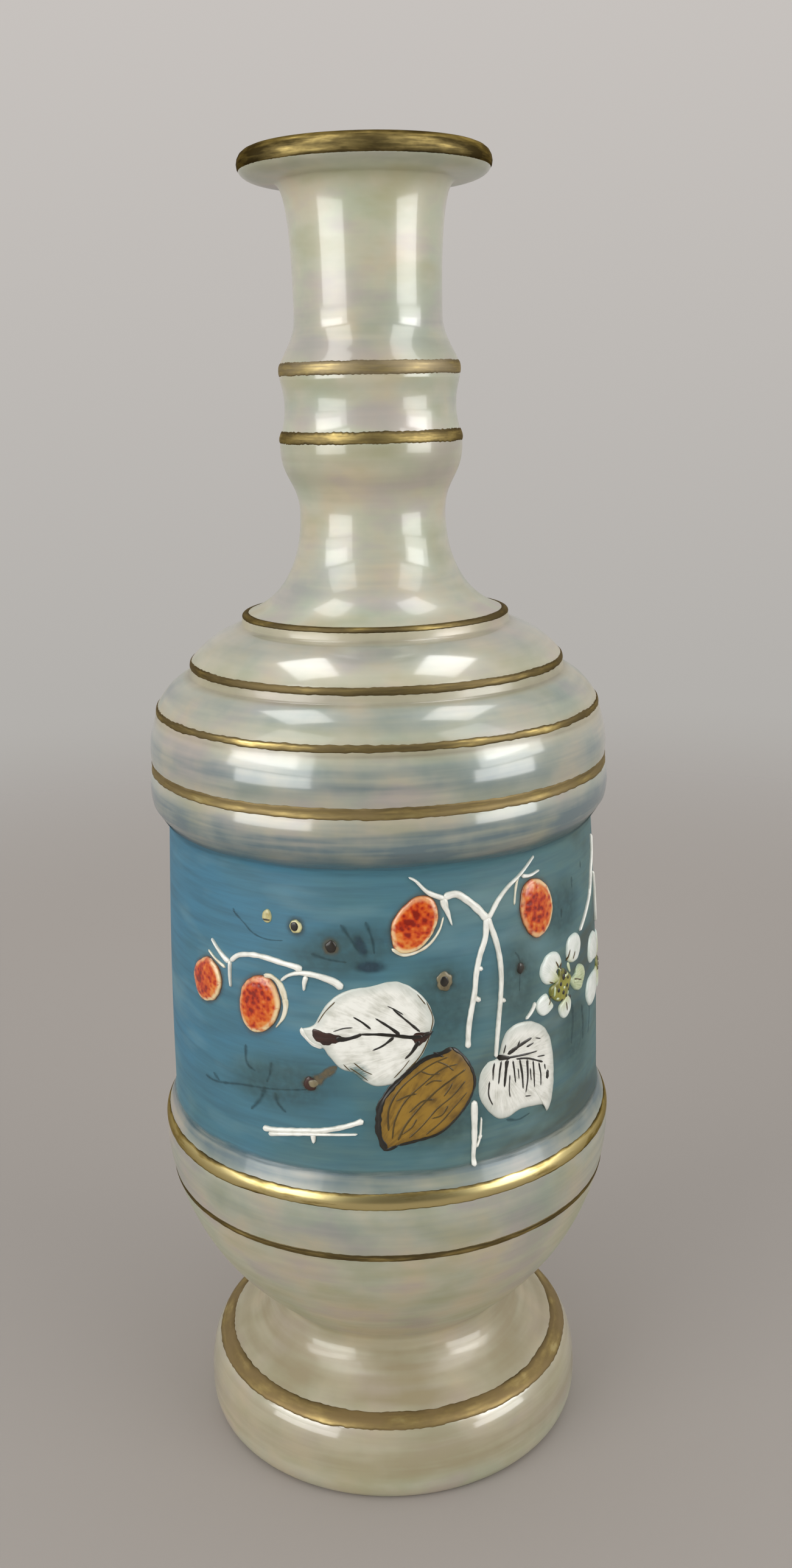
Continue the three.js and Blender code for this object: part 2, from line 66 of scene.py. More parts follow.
# Adds a node with its sockets and settings, and gives the output that the next node takes.
def addNode(tree, kind, sockets=(), out=0, stops=(), **settings):
    node = tree.nodes.new("ShaderNode" + kind)
    for setting, value in settings.items():
        setattr(node, setting, value)
    fillSockets(tree, node, sockets)
    ramp = node.color_ramp.elements if stops else []
    while len(ramp) < len(stops):
        ramp.new(0.5)
    for element, (position, colour) in zip(ramp, stops):
        element.position, element.color = position, linearColour(colour)
    return node.outputs[out] if node.outputs else None


# Starts a material with its fixed sockets, the mesh marks that it reads, and its noises, each as
# the width of its marks in mm, its detail and roughness, and if need be a stretch and a shift.
def startMaterial(name, fixed, marks=(), noises=()):
    material = bpy.data.materials.new(name)
    material.use_nodes = True
    tree = material.node_tree
    shader = tree.nodes["Principled BSDF"]
    fillSockets(tree, shader, fixed)
    place = addNode(tree, "TexCoord", out="Object")
    read = [addNode(tree, "Attribute", out="Fac", attribute_name=mark) for mark in marks]
    for width, detail, roughness, *drawn in noises:
        drawnPlace = place
        if drawn:
            drawnPlace = addNode(tree, "Mapping", {"Vector": place, **dict(zip(("Scale", "Location"), drawn))})
        read.append(addNode(tree, "TexNoise", {
            "Vector": drawnPlace, "Scale": 1 / (width * mm), "Detail": detail, "Roughness": roughness,
        }))
    return material, tree, shader, place, *read


# The glass: radius and height of each edge of its outline, from the ground to the mouth, in mm.
vessel = {
    "edges": {
        "stand": (36.4, 0.0), "footSide": (39.0, 5.5), "footEdge": (34.8, 16.3), "waist": (25.1, 26.4),
        "bellyLine": (44.0, 57.0), "bellyBand": (45.0, 68.9), "barrelFoot": (42.75, 74.5),
        "barrelTop": (40.9, 129.5), "underRoll": (43.8, 133.5), "shoulder": (43.5, 140.6), "lowCrease": (42.4, 150.3),
        "lowStep": (42.1, 151.9), "middleCrease": (35.7, 157.7), "middleStep": (35.3, 160.2),
        "upperCrease": (25.4, 166.6), "upperStep": (25.1, 168.6), "lowerNeck": (13.6, 187.1),
        "lowerCollar": (16.8, 200.8), "upperCollarFoot": (16.5, 211.0), "upperCollar": (16.5, 212.7),
        "upperNeck": (13.45, 222.0),
        "lipUnderside": (16.1, 244.5), "lipSide": (22.5, 247.25), "mouth": (18.9, 250.0),
    },
    "wall": 2.8,
    "floorMiddle": 12.0,
    "hollowTop": 7.0,
    "bendRows": {"hollow": 24, "throat": 14, "floor": 20},
    "standRing": 5.4,
    "throat": 241.0,
    "softCorner": 0.7,  # how far the mould rounds an edge
    "waver": 0.07,  # hand-blown unevenness
    "sides": 160,
    "waverTurns": 1.5,
    "waverRise": 36,
    "rowSpacing": 0.25,
    "bendAllowance": 1.2,  # a bend is longer than its chord
    "markRun": 2.4,  # how far polish and lustre run into each other
    "axisRadius": 0.01,  # within this a ring is one point
    "insideStep": 1.6,
    "insideMarks": (0.2, 0, 0.2),  # polish, blue and tan inside and underneath
    "throatRound": 0.11,
    # painted shade in the creases under the steps: how dark it gets and how wide it is in mm
    "dirt": 0.6,
    "paintedShadeWidth": 0.25,
    "thinTolerance": 0.012,
    "longestRow": 2.2,
}

# Stretches between those edges: the bend's controls as shares of the way across and up, or a
# bow's radius half-way up, and at its start, middle and end how polished the satin is, how blue
# and how tan its lustre, in tenths. The blue is partly painted shade: it darkens the down-facing under-roll and the
# rolls' middles.
stretches = [
    ("stand", "footSide", [(1, 0)], (3, 4, 6), (0, 0, 0), (4, 4, 3)),
    ("footSide", "footEdge", [(0, 0.91)], (8, 9, 10), (0, 0, 0), (8, 7, 6)),
    ("footEdge", "waist", [(0.55, 0.28), (0.95, 0.5)], (3, 3, 9), (0, 0, 0), (8, 9, 8)),
    ("waist", "bellyLine", [(0, 0.08), (0.75, 0.33)], (8, 2, 3), (0, 0, 2), (6, 3, 2)),
    ("bellyLine", "bellyBand", 45.55, (5, 5, 5), (3, 5, 3), (2, 1, 1)),
    ("bellyBand", "barrelFoot", [(0.5, 0.5)], (5, 5, 5), (4, 9, 13), (0, 0, 0)),
    ("barrelFoot", "barrelTop", 42.5, (5, 5, 5), (6, 6, 12), (0, 0, 0)),
    ("barrelTop", "underRoll", [(0.35, 0.4)], (5, 6, 7), (7, 8, 10), (0, 0, 0)),
    ("underRoll", "shoulder", 44.75, (8, 9, 10), (12, 10, 2), (0, 0, 1)),
    ("shoulder", "lowCrease", 44.5, (9, 10, 10), (3, 9, 4), (2, 0, 0)),
    ("lowCrease", "lowStep", [(0.5, 0.5)], (3, 3, 3), (0, 0, 0), (10, 10, 9)),
    ("lowStep", "middleCrease", [(0.375, 0.75)], (5, 6, 6), (2, 7, 4), (2, 0, 1)),
    ("middleCrease", "middleStep", [(0.5, 0.5)], (3, 3, 3), (0, 0, 0), (10, 10, 9)),
    ("middleStep", "upperCrease", [(0.375, 0.75)], (5, 9, 9), (0, 5, 5), (3, 1, 1)),
    ("upperCrease", "upperStep", [(0.5, 0.5)], (3, 3, 3), (0, 0, 0), (10, 10, 9)),
    ("upperStep", "lowerNeck", [(0.67, 0.11), (1, 0.5)], (3, 6, 8), (1, 4, 1), (1, 0, 1)),
    ("lowerNeck", "lowerCollar", [(0, 0.45), (1.19, 0.45)], (7, 4, 8), (1, 2, 1), (1, 3, 4)),
    ("lowerCollar", "upperCollarFoot", 14.85, (9, 6, 9), (0, 3, 1), (2, 0, 2)),
    ("upperCollarFoot", "upperCollar", [(0.5, 0.5)], (9, 9, 9), (0, 0, 0), (2, 2, 2)),
    ("upperCollar", "upperNeck", [(0, 0.25), (1, 0.5)], (6, 8, 9), (0, 4, 4), (4, 1, 1)),
    ("upperNeck", "lipUnderside", [(0, 0.5), (0.18, 0.97)], (9, 9, 4), (2, 0, 0), (1, 1, 2)),
    ("lipUnderside", "lipSide", [(1, 0)], (4, 6, 8), (2, 3, 4), (1, 2, 4)),
    ("lipSide", "mouth", [(0, 1)], (9, 9, 9), (0, 0, 0), (3, 3, 3)),
]


# A bend's points by halving between its controls.
def bendPoints(controls, count):
    rows = []
    for share in np.linspace(0, 1, count):
        level = [np.array(point, float) for point in controls]
        while len(level) > 1:
            level = [a + (b - a) * share for a, b in zip(level, level[1:])]
        rows.append(level[0])
    return rows


def travelledAlong(points):
    return np.concatenate([[0], np.cumsum(np.hypot(*np.diff(points, axis=0).T))])


# The outline as rows of radius, height, polish, blue and tan.
def outlineRows():
    rows = []
    for start, end, bend, *marks in stretches:
        a, b = (np.array(vessel["edges"][name]) for name in (start, end))
        controls = [(bend, (a[1] + b[1]) / 2)]
        if isinstance(bend, list):
            controls = [a + (b - a) * np.array(share) for share in bend]
        count = max(3, math.ceil(np.hypot(*(b - a)) * vessel["bendAllowance"] / vessel["rowSpacing"]))
        for i, point in enumerate(bendPoints([a, *controls, b], count)[:-1]):
            share = i / (count - 1)
            rows.append([*point, *(np.interp(share, (0, 0.5, 1), mark) / 10 for mark in marks)])
    rows.append([*vessel["edges"]["mouth"], *(mark[-1] / 10 for mark in marks)])
    return np.array(rows)


# Evens out the rows' spacing, then averages some columns over a short window.
def softened(rows, window, columns):
    travelled = travelledAlong(rows[:, :2])
    even = np.arange(0, travelled[-1], vessel["rowSpacing"])
    even[-1] = travelled[-1]
    rows = np.column_stack([np.interp(even, travelled, column) for column in rows.T])
    half = max(1, round(window / vessel["rowSpacing"] / 2))
    kernel = np.ones(2 * half + 1) / (2 * half + 1)
    for i in columns:
        rows[:, i] = np.convolve(np.pad(rows[:, i], half, mode="edge"), kernel, mode="valid")
    return rows


rows = softened(outlineRows(), vessel["softCorner"], (0, 1))
rows = softened(rows, vessel["markRun"], (2, 3, 4))
rows[0, :2] = vessel["edges"]["stand"]
rows[:, 1] = np.maximum.accumulate(np.maximum(rows[:, 1], 0))
outlineArc = travelledAlong(rows[:, :2])
steps = np.gradient(rows[:, :2], axis=0)
steps /= np.hypot(*steps.T)[:, None]
outlineColumns = [*rows[:, :2].T, steps[:, 1], -steps[:, 0]]  # radius, height, and which way is out
roundAngles = [2 * math.pi * side / vessel["sides"] for side in range(vessel["sides"])]


def arcAt(height):
    return float(np.interp(height, rows[:, 1], outlineArc))


def waverAt(angle, height):
    place = Vector((math.sin(angle), math.cos(angle), height / vessel["waverRise"])) * vessel["waverTurns"]
    return vessel["waver"] * noise.noise(place)


def turned(radius, angle, height):
    return Vector((radius * math.sin(angle), -radius * math.cos(angle), height)) * mm


# A point over the outline: at an arc length along it and an angle to the right of the front.
def onGlass(angle, arc, lift=0.0):
    radius, height, outwards, upwards = (np.interp(arc, outlineArc, column) for column in outlineColumns)
    return turned(radius + outwards * lift + waverAt(angle, height), angle, height + upwards * lift)


# Shapes are gathered as points, faces, and the marks of each point, which the materials read.
def newShape():
    return {"points": [], "faces": [], "marks": []}


def addPoint(shape, place, **marks):
    shape["points"].append(place)
    shape["marks"].append(marks)
    return len(shape["points"]) - 1


def finishShape(shape, name, material, nodes=()):
    mesh = bpy.data.meshes.new(name)
    mesh.from_pydata([tuple(point) for point in shape["points"]], [], shape["faces"])
    for mark in shape["marks"][0]:
        values = [float(marks[mark]) for marks in shape["marks"]]
        mesh.attributes.new(mark, "FLOAT", "POINT").data.foreach_set("value", values)
    mesh.materials.append(material)
    mesh.polygons.foreach_set("use_smooth", [True] * len(mesh.polygons))
    mesh.update()
    mesh.validate()
    piece = bpy.data.objects.new(name, mesh)
    bpy.context.scene.collection.objects.link(piece)
    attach(piece, "root")
    if nodes:
        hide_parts(*nodes)


# Joins rings of point numbers in turn with quads, or a ring to one point with triangles.
def joinRings(shape, rings, closed=False):
    for low, high in zip(rings, [*rings[1:], *rings[:closed]]):
        count = max(len(low), len(high))
        for i in range(count):
            j = (i + 1) % count
            if len(low) == 1:
                shape["faces"].append((low[0], high[j], high[i]))
            elif len(high) == 1:
                shape["faces"].append((low[i], low[j], high[0]))
            else:
                shape["faces"].append((low[i], low[j], high[j], high[i]))


# Drops rows that lie near the straight line between those kept, but leaves no long gap.
def thinnedRows(table):
    kept = [0]
    while kept[-1] < len(table) - 1:
        start = kept[-1]
        end = start + 1
        while end + 1 < len(table):
            chord = table[end + 1, :2] - table[start, :2]
            length = np.hypot(*chord)
            inside = table[start + 1:end + 1, :2] - table[start, :2]
            off = np.abs(inside[:, 0] * chord[1] - inside[:, 1] * chord[0]).max() / length
            if off > vessel["thinTolerance"] or length > vessel["longestRow"]:
                break
            end += 1
        kept.append(end)
    return table[kept]


# The wall is even: the inside is where a ball of its thickness touches the outline.
def insideRadius(height):
    near = np.abs(rows[:, 1] - height) < vessel["wall"]
    return (rows[near, 0] - np.sqrt(vessel["wall"] ** 2 - (rows[near, 1] - height) ** 2)).min()


# Acid-dulled soda glass with a fired mother-of-pearl lustre: light gets through but no image
# does, windows show as soft bars with a bright core, the rolls are a bluish grey, partly as painted
# shade, and the steps and the foot a warm tan.
glassLook = {
    "body": "#e2dfc4", "warm": "#e6d8b8", "cool": "#d4dcc0", "olive": "#bfbf8a", "lilac": "#cfbcc2",
    # The crease colour is painted shade; the blue lustre is partly painted shade.
    "blueLustreAndShade": "#6a8289", "tanLustre": "#b4a580", "paintedCreaseShade": "#8a8068",
    "satinRoughness": 0.4,
    "polishedRoughness": 0.29,
    "unevenness": 0.06,
    "transmission": 0.3,
    "lustre": 0.8,  # the fired lustre reflects about twice as much as bare glass
    "film": 0.5,
    "streakWidth": 1.4,  # mm, the marks of turning in the mould
    "cloudWidth": 13,
    "filmWidth": 16,
    "grain": 0.35,  # mm, acid grain drawn coarser than it is so that it shows
    "grainDepth": 0.02,
}


def satinGlass():
    fixed = {
        "IOR": 1.5, "Transmission Weight": glassLook["transmission"], "Specular IOR Level": glassLook["lustre"],
        "Coat Roughness": 0.1, "Coat IOR": 1.7,
    }
    noises = (
        (glassLook["streakWidth"], 2.0, 0.5, (0.06, 0.06, 1.0)), (glassLook["cloudWidth"], 4.0, 0.5),
        (glassLook["grain"], 2.0, 0.5), (glassLook["filmWidth"], 3.0, 0.5, (1.0, 1.0, 2.5), (0.4, 0.1, 0.2)),
    )
    material, tree, shader, _, polish, blue, tan, dirt, streaks, clouds, grain, films = startMaterial(
        "acidSatinGlass", fixed, ("polish", "blue", "tan", "dirt"), noises,
    )
    patches = addNode(tree, "Math", (streaks, 0.7, clouds), operation="MULTIPLY_ADD")
    patches = addNode(tree, "MapRange", (patches, 0.6, 1.05, 0.45, 1.15))
    # Painted shade: the creases are darkened in patches.
    shadePatches = addNode(tree, "MapRange", (clouds, 0.4, 0.6, 0.35, 1))
    bluedAndShaded, tanned, shadePainted = (
        addNode(tree, "Math", pair, operation="MULTIPLY", use_clamp=True)
        for pair in ((blue, patches), (tan, patches), (dirt, shadePatches))
    )
    lilac, olive = (
        addNode(tree, "MapRange", (films, *ends, 0, glassLook["film"])) for ends in ((0.52, 0.66), (0.48, 0.32))
    )
    colour = addNode(tree, "ValToRGB", (clouds,), stops=[
        (0.36, glassLook["warm"]), (0.5, glassLook["body"]), (0.64, glassLook["cool"]),
    ])
    # The blue lustre is partly painted shade on the down-facing under-roll and the rolls' middles.
    for amount, tint in (
        (lilac, "lilac"), (olive, "olive"), (bluedAndShaded, "blueLustreAndShade"), (tanned, "tanLustre"), (shadePainted, "paintedCreaseShade"),
    ):
        colour = addNode(tree, "Mix", {0: amount, 6: colour, 7: linearColour(glassLook[tint])}, 2, data_type="RGBA")
    roughness = addNode(tree, "MapRange", (polish, 0, 1, glassLook["satinRoughness"], glassLook["polishedRoughness"]))
    uneven = addNode(tree, "MapRange", (streaks, 0.3, 0.7, 0, glassLook["unevenness"]))
    fillSockets(tree, shader, {
        "Base Color": colour,
        "Roughness": addNode(tree, "Math", (roughness, uneven), operation="ADD"),
        "Coat Weight": addNode(tree, "MapRange", (polish, 0.25, 0.95)),
        "Normal": addNode(tree, "Bump", {"Height": grain, "Strength": 0.1, "Distance": glassLook["grainDepth"] * mm}),
    })
    return material


# Painted shade: the three creases under the shoulder's steps are darkened, as shade would darken them.
def paintedShadeAt(height):
    creases = [vessel["edges"][name][1] for name in ("lowCrease", "middleCrease", "upperCrease")]
    return vessel["dirt"] * max(math.exp(-((height - crease) / vessel["paintedShadeWidth"]) ** 2) for crease in creases)


def glassVessel():
    edges, throat, floor, top = vessel["edges"], vessel["throat"], vessel["floorMiddle"], vessel["hollowTop"]
    hollowEdge = edges["stand"][0] - vessel["standRing"]
    bendRows = vessel["bendRows"]
    hollow = bendPoints([(0, top), (hollowEdge, top), (hollowEdge, 0)], bendRows["hollow"])
    heights = np.arange(throat, edges["waist"][1], -vessel["insideStep"])
    levels = [(insideRadius(height), height) for height in heights]
    mouth, foot = edges["mouth"], levels[-1]
    throatTop = mouth[1] + vessel["throatRound"] * (throat - mouth[1])
    throatBend = bendPoints([mouth, (levels[0][0], throatTop), levels[0]], bendRows["throat"])
    floorBend = bendPoints([foot, (foot[0], floor), (0, floor)], bendRows["floor"])
    plain = vessel["insideMarks"]
    profile = [(*point, *plain) for point in hollow]
    profile += [tuple(row) for row in thinnedRows(rows)]
    profile += [(*point, *plain) for point in (*throatBend[1:], *levels[1:-1], *floorBend)]
    shape = newShape()
    rings = []
    for radius, height, polish, blue, tan in profile:
        ring = []
        onAxis = radius < vessel["axisRadius"]
        for angle in [0] if onAxis else roundAngles:
            waver = 0 if onAxis or height <= 0 else waverAt(angle, height)
            # Each point also carries how much painted crease shade it gets.
            ring.append(addPoint(shape, turned(radius + waver, angle, height), polish=polish, blue=blue, tan=tan,
                                 dirt=paintedShadeAt(height) * (polish != plain[0])))
        rings.append(ring)
    joinRings(shape, rings)
    finishShape(shape, "glassVessel", satinGlass(), ["glass_body"])


glassVessel()
print("glass blown")


# A piece that stands for a CAD node has its name: blossomPetal1 is blossom_petal_1 there.
def nodeOf(name):
    return "".join(letter if letter.islower() else "_" + letter.lower() for letter in name)


# Fired gold, brushed on and rubbed: bright where it is thick, olive and brown where it is thin,
# and no longer a mirror where hands have worn it down to the lustre.
giltLook = {
    "bright": "#dccb90", "gold": "#b4a066", "thin": "#746640", "edge": "#453c26",
    "grazing": (0.42, 0.36, 0.26, 1), "roughness": 0.34, "rubMark": 2.6, "brush": 0.5, "brushDepth": 0.04,
    "thickness": 0.14, "sunk": -0.02, "back": -0.03, "crown": 4, "columns": 480, "across": 8,
    "waverScale": 4, "nibbleScale": 34, "seedStep": 3.1, "topSeed": 7.7,
}


def firedGilding(name, rubbedTint):
    material, tree, shader, _, reach, rise, worn, dull, rubs, brushed = startMaterial(
        name, {"Specular Tint": giltLook["grazing"]}, ("reach", "rise", "worn", "dull"),
        ((giltLook["rubMark"], 4.0, 0.55, (0.3, 0.3, 1.0)), (giltLook["brush"], 2.0, 0.5, (0.08, 0.08, 1.0))),
    )
    edge = addNode(tree, "Math", (reach, 8.0), operation="POWER")
    upperLine = addNode(tree, "MapRange", (rise, 0.7, 0.92, 0, 0.3))
    thinness = addNode(tree, "Math", (brushed, 0.5, -0.25), operation="MULTIPLY_ADD")
    for thinner, share in ((rubs, 1), (edge, 0.3), (dull, 1), (upperLine, 1)):
        thinness = addNode(tree, "Math", (thinner, share, thinness), operation="MULTIPLY_ADD")
    colour = addNode(tree, "ValToRGB", (thinness,), stops=[
        (0.36, giltLook["bright"]), (0.48, giltLook["gold"]), (0.66, giltLook["thin"]), (0.84, giltLook["edge"]),
    ])
    rubbed = addNode(tree, "MapRange", (rubs, 0.35, 0.6, 0.55, 1.1))
    rubbed = addNode(tree, "Math", (rubbed, worn), operation="MULTIPLY", use_clamp=True)
    even = giltLook["roughness"]
    bump = addNode(tree, "Bump", {"Height": brushed, "Strength": 0.3, "Distance": giltLook["brushDepth"] * mm})
    fillSockets(tree, shader, {
        "Base Color": addNode(tree, "Mix", {0: rubbed, 6: colour, 7: linearColour(rubbedTint)}, 2, data_type="RGBA"),
        "Metallic": addNode(tree, "MapRange", (rubbed, 0, 1, 1, 0.25)),
        "Roughness": addNode(tree, "MapRange", (thinness, 0.35, 0.8, even - 0.04, even + 0.18)),
        "Normal": bump,
    })
    return material


gilding = firedGilding("wornFiredGold", "#97845c")
rubbedGilding = firedGilding("rubbedFiredGold", "#85714c")
creamGilding = firedGilding("rubbedPaleGold", "#b0a080")
# Each line's paint, slow waver and quick nibble in mm, how far it is worn, how thin its gold is,
# and the shares of its height at the foot and the top that are worn away.
giltLines = {
    "giltLipBand": (gilding, 0.05, 0.08, 0.0, 0.22, 0, 0),
    "giltUpperCollarBand": (creamGilding, 0.15, 0.14, 0.5, 0.12, 0.05, 0),
    "giltLowerCollarBand": (gilding, 0.2, 0.16, 0.2, 0.08, 0.1, 0),
    "giltUpperStepLine": (gilding, 0.08, 0.06, 0.2, 0.3, 0.15, 0.05),
    "giltMiddleStepLine": (gilding, 0.12, 0.14, 0.3, 0.3, 0.12, 0.05),
    "giltLowStepLine": (gilding, 0.15, 0.2, 0.3, 0.18, 0.2, 0.05),
    "giltShoulderBand": (gilding, 0.15, 0.16, 0.6, 0.12, 0.05, 0),
    "giltBellyBand": (gilding, 0.24, 0.14, 0.0, -0.2, 0, 0.05),
    "giltBellyLine": (gilding, 0.14, 0.12, 0.2, 0.14, 0.1, 0.1),
    "giltFootBand": (rubbedGilding, 0.2, 0.2, 0.85, 0.08, 0.1, 0),
}


# A line of gold over the outline between its node's two heights, closed, with wavering edges.
def giltLine(number, name, paint, edgeWaver, nibble, worn, dull, lostFoot, lostTop):
    node = nodeOf(name)
    low, high = (corner.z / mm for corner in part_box(node))
    lowArc, highArc = arcAt(low + lostFoot * (high - low)), arcAt(high - lostTop * (high - low))
    across, sunk = giltLook["across"], giltLook["sunk"]
    shape = newShape()
    rings = [[] for _ in range(2 * across + 2)]
    for column in range(giltLook["columns"]):
        angle = 2 * math.pi * column / giltLook["columns"]
        turn = Vector((math.sin(angle), math.cos(angle), 0))
        edges = []
        for arc, offset in ((lowArc, 0), (highArc, giltLook["topSeed"])):
            seed = Vector((0, 0, giltLook["seedStep"] * number + offset))
            slow, quick = (noise.noise(turn * giltLook[scale] + seed) for scale in ("waverScale", "nibbleScale"))
            edges.append(arc + edgeWaver * slow + nibble * quick)
        for i in range(across + 1):
            share = i / across
            reach = abs(2 * share - 1)
            arc = edges[0] + (edges[1] - edges[0]) * share
            top = sunk + (giltLook["thickness"] - sunk) * (1 - reach ** giltLook["crown"])
            for ring, lift in ((rings[i], top), (rings[-1 - i], giltLook["back"])):
                ring.append(addPoint(shape, onGlass(angle, arc, lift), reach=reach, rise=share, worn=worn, dull=dull))
    joinRings(shape, rings, closed=True)
    finishShape(shape, name, paint, [node])


for number, (name, look) in enumerate(giltLines.items()):
    giltLine(number, name, *look)
print("gilding fired:", len(giltLines), "lines")


# Thin glass enamel brushed round and round: streaks that run level, teal that turns bluer to
# the left, semi-matt, and edges that fade where the brush ran dry.
groundLook = {
    "teal": "#45737d", "blue": "#3d7892", "grey": "#557573", "deep": "#31596a", "smoke": "#45544c", "pale": "#7d9ea0",
    "roughness": 0.6, "streak": 1.3, "streakDepth": 0.05, "streakShare": 0.6, "cloudWidth": 15, "hazeWidth": 12,
    "haze": 0.4, "bluestAt": -42, "greyestAt": 30,  # mm to the right of the middle
    "topFade": 5.5, "footFade": 2.0, "thickness": 0.2, "underside": 0.03, "edge": 0.04, "edgeRun": 2.5, "rows": 44,
}
barrelFoot, barrelTop = (vessel["edges"][name] for name in ("barrelFoot", "barrelTop"))
groundArcs = [arcAt(corner.z / mm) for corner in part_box("blue_ground")]


def blueEnamel():
    noises = (
        (groundLook["streak"], 5.0, 0.6, (0.07, 0.07, 1.0)), (groundLook["cloudWidth"], 4.0, 0.6, (0.5, 0.5, 1.0)),
        (groundLook["hazeWidth"], 3.0, 0.5, (0.5, 0.5, 1.6), (0.3, 0.2, 0.1)),
    )
    material, tree, shader, place, rise, outer, streaks, clouds, haze = startMaterial(
        "streakyBlueEnamel", {"IOR": 1.5, "Roughness": groundLook["roughness"]}, ("rise", "outer"), noises,
    )
    sideways = addNode(tree, "SeparateXYZ", (place,))
    ends = [groundLook[end] * mm for end in ("greyestAt", "bluestAt")]
    leftwards = addNode(tree, "MapRange", (sideways, *ends, -0.18, 0.42))
    upwards = addNode(tree, "MapRange", (rise, arcAt(barrelFoot[1]), arcAt(barrelTop[1]), -0.12, 0.14))
    mixed = addNode(tree, "Math", (leftwards, upwards), operation="ADD")
    mixed = addNode(tree, "Math", (mixed, clouds), operation="ADD")
    colour = addNode(tree, "ValToRGB", (mixed,), stops=[
        (0.2, groundLook["smoke"]), (0.36, groundLook["grey"]),
        (0.58, groundLook["teal"]), (0.95, groundLook["blue"]),
    ])
    for ranged, tint in (
        ((streaks, 0.4, 0.75, 0, groundLook["streakShare"]), "deep"),
        ((haze, 0.53, 0.75, 0, groundLook["haze"]), "pale"),
    ):
        amount = addNode(tree, "MapRange", ranged)
        colour = addNode(tree, "Mix", {0: amount, 6: colour, 7: linearColour(groundLook[tint])}, 2, data_type="RGBA")
    frayed = addNode(tree, "Math", (streaks, 3.0, rise), operation="MULTIPLY_ADD")
    frayed = addNode(tree, "Math", (frayed, 1.5), operation="SUBTRACT")
    alpha = outer
    for arc, fade in zip(groundArcs, (groundLook["footFade"], -groundLook["topFade"])):
        shown = addNode(tree, "MapRange", (frayed, arc, arc + fade), interpolation_type="SMOOTHSTEP")
        alpha = addNode(tree, "Math", (alpha, shown), operation="MULTIPLY")
    bump = addNode(tree, "Bump", {"Height": streaks, "Strength": 0.35, "Distance": groundLook["streakDepth"] * mm})
    fillSockets(tree, shader, {"Base Color": colour, "Alpha": alpha, "Normal": bump})
    return material


# Only the outer skin shows: the one beneath would darken the faded edges.
def blueGround():
    shape = newShape()
    arcs = np.linspace(*groundArcs, groundLook["rows"])
    rings = []
    for thickness, run in ((groundLook["thickness"], arcs), (groundLook["underside"], arcs[::-1])):
        for arc in run:
            fromEdge = min(arc - groundArcs[0], groundArcs[1] - arc)
            edgeLift = min(thickness, groundLook["edge"])
            lift = float(np.interp(fromEdge, (0, groundLook["edgeRun"]), (edgeLift, thickness)))
            rings.append([
                addPoint(shape, onGlass(angle, arc, lift), rise=arc, outer=run is arcs) for angle in roundAngles
            ])
    joinRings(shape, rings, closed=True)
    finishShape(shape, "blueBand", blueEnamel(), ["blue_ground"])


blueGround()
print("ground painted")

# The spray is drawn in mm on the unrolled barrel: across from the middle of the front, and up
# from the barrel's foot. Each daub lies on the ground or on what was painted before it.
sprayRadius = (barrelFoot[0] + barrelTop[0]) / 2
farOut = 60  # mm from the axis, where a look inwards for earlier paint starts
painted = {}


def onSpray(across, up, lift, below=()):
    angle = across / sprayRadius
    base = onGlass(angle, arcAt(barrelFoot[1] + up), groundLook["thickness"])
    outwards = Vector((math.sin(angle), -math.cos(angle), 0))
    level = Vector((0, 0, base.z))
    best = math.hypot(base.x, base.y)
    for name in below:
        hit = painted[name].ray_cast(outwards * farOut * mm + level, -outwards)[0]
        if hit is not None:
            best = max(best, math.hypot(hit.x, hit.y))
    return outwards * (best + lift * mm) + level


def finishPaint(shape, name, paint, nodes=()):
    painted[name] = BVHTree.FromPolygons([tuple(point) for point in shape["points"]], shape["faces"])
    finishShape(shape, name, paint, nodes)


# How the brush lays paint down: sizes in mm, heights as shares of the relief.
brushLook = {
    "sunk": -0.05,  # mm, how far the closed underside lies in what is below it
    "fanAway": 40.0, "edgeHeight": 0.16, "ringSpread": 0.8, "ridgeFade": 8,
    "strokeTurns": 12, "strokeWidth": 1.5, "strokeLength": 0.14,
    "sides": 8, "knobLength": 0.9, "wobbleLength": 0.9, "wobbleSeed": 1.3, "crown": 0.8, "endHeight": 0.35,
    "tip": 0.04, "tipSlack": 0.05, "curveSpacing": 0.3, "curveSteps": 24,
}


# A smooth curve through drawn points, as evenly spaced (across, up) places.
def smoothCurve(points, spacing, closed=False):
    drawn = [np.array(point, float) for point in points]
    if closed:
        guard = [drawn[-1], *drawn, drawn[0], drawn[1]]
    else:
        guard = [2 * drawn[0] - drawn[1], *drawn, 2 * drawn[-1] - drawn[-2]]
    dense = []
    for a, b, c, d in zip(guard, guard[1:], guard[2:], guard[3:]):
        for t in np.linspace(0, 1, brushLook["curveSteps"], endpoint=False):
            dense.append(0.5 * (2 * b + (c - a) * t + (2 * a - 5 * b + 4 * c - d) * t ** 2
                                + (3 * b - a - 3 * c + d) * t ** 3))
    dense = np.array([*dense, drawn[0] if closed else drawn[-1]])
    travelled = travelledAlong(dense)
    even = np.linspace(0, travelled[-1], max(4, round(travelled[-1] / spacing)) + 1)
    places = np.column_stack([np.interp(even, travelled, column) for column in dense.T])
    return places[:-1] if closed else places


def ovalRim(middle, halves, tilt=0.0, spacing=brushLook["curveSpacing"]):
    lean = math.radians(tilt)
    turns = np.linspace(0, 2 * math.pi, max(16, round(math.pi * sum(halves) / spacing)), endpoint=False)
    x, y = halves[0] * np.cos(turns), halves[1] * np.sin(turns)
    return np.column_stack([
        middle[0] + x * math.cos(lean) + y * math.sin(lean), middle[1] - x * math.sin(lean) + y * math.cos(lean),
    ])


def ragged(rim, amount, wavelength, seed):
    middle = rim.mean(axis=0)
    out = []
    for spot in rim:
        shake = noise.noise(Vector((*(spot / wavelength), seed)))
        out.append(spot + (spot - middle) / np.hypot(*(spot - middle)) * amount * shake)
    return np.array(out)


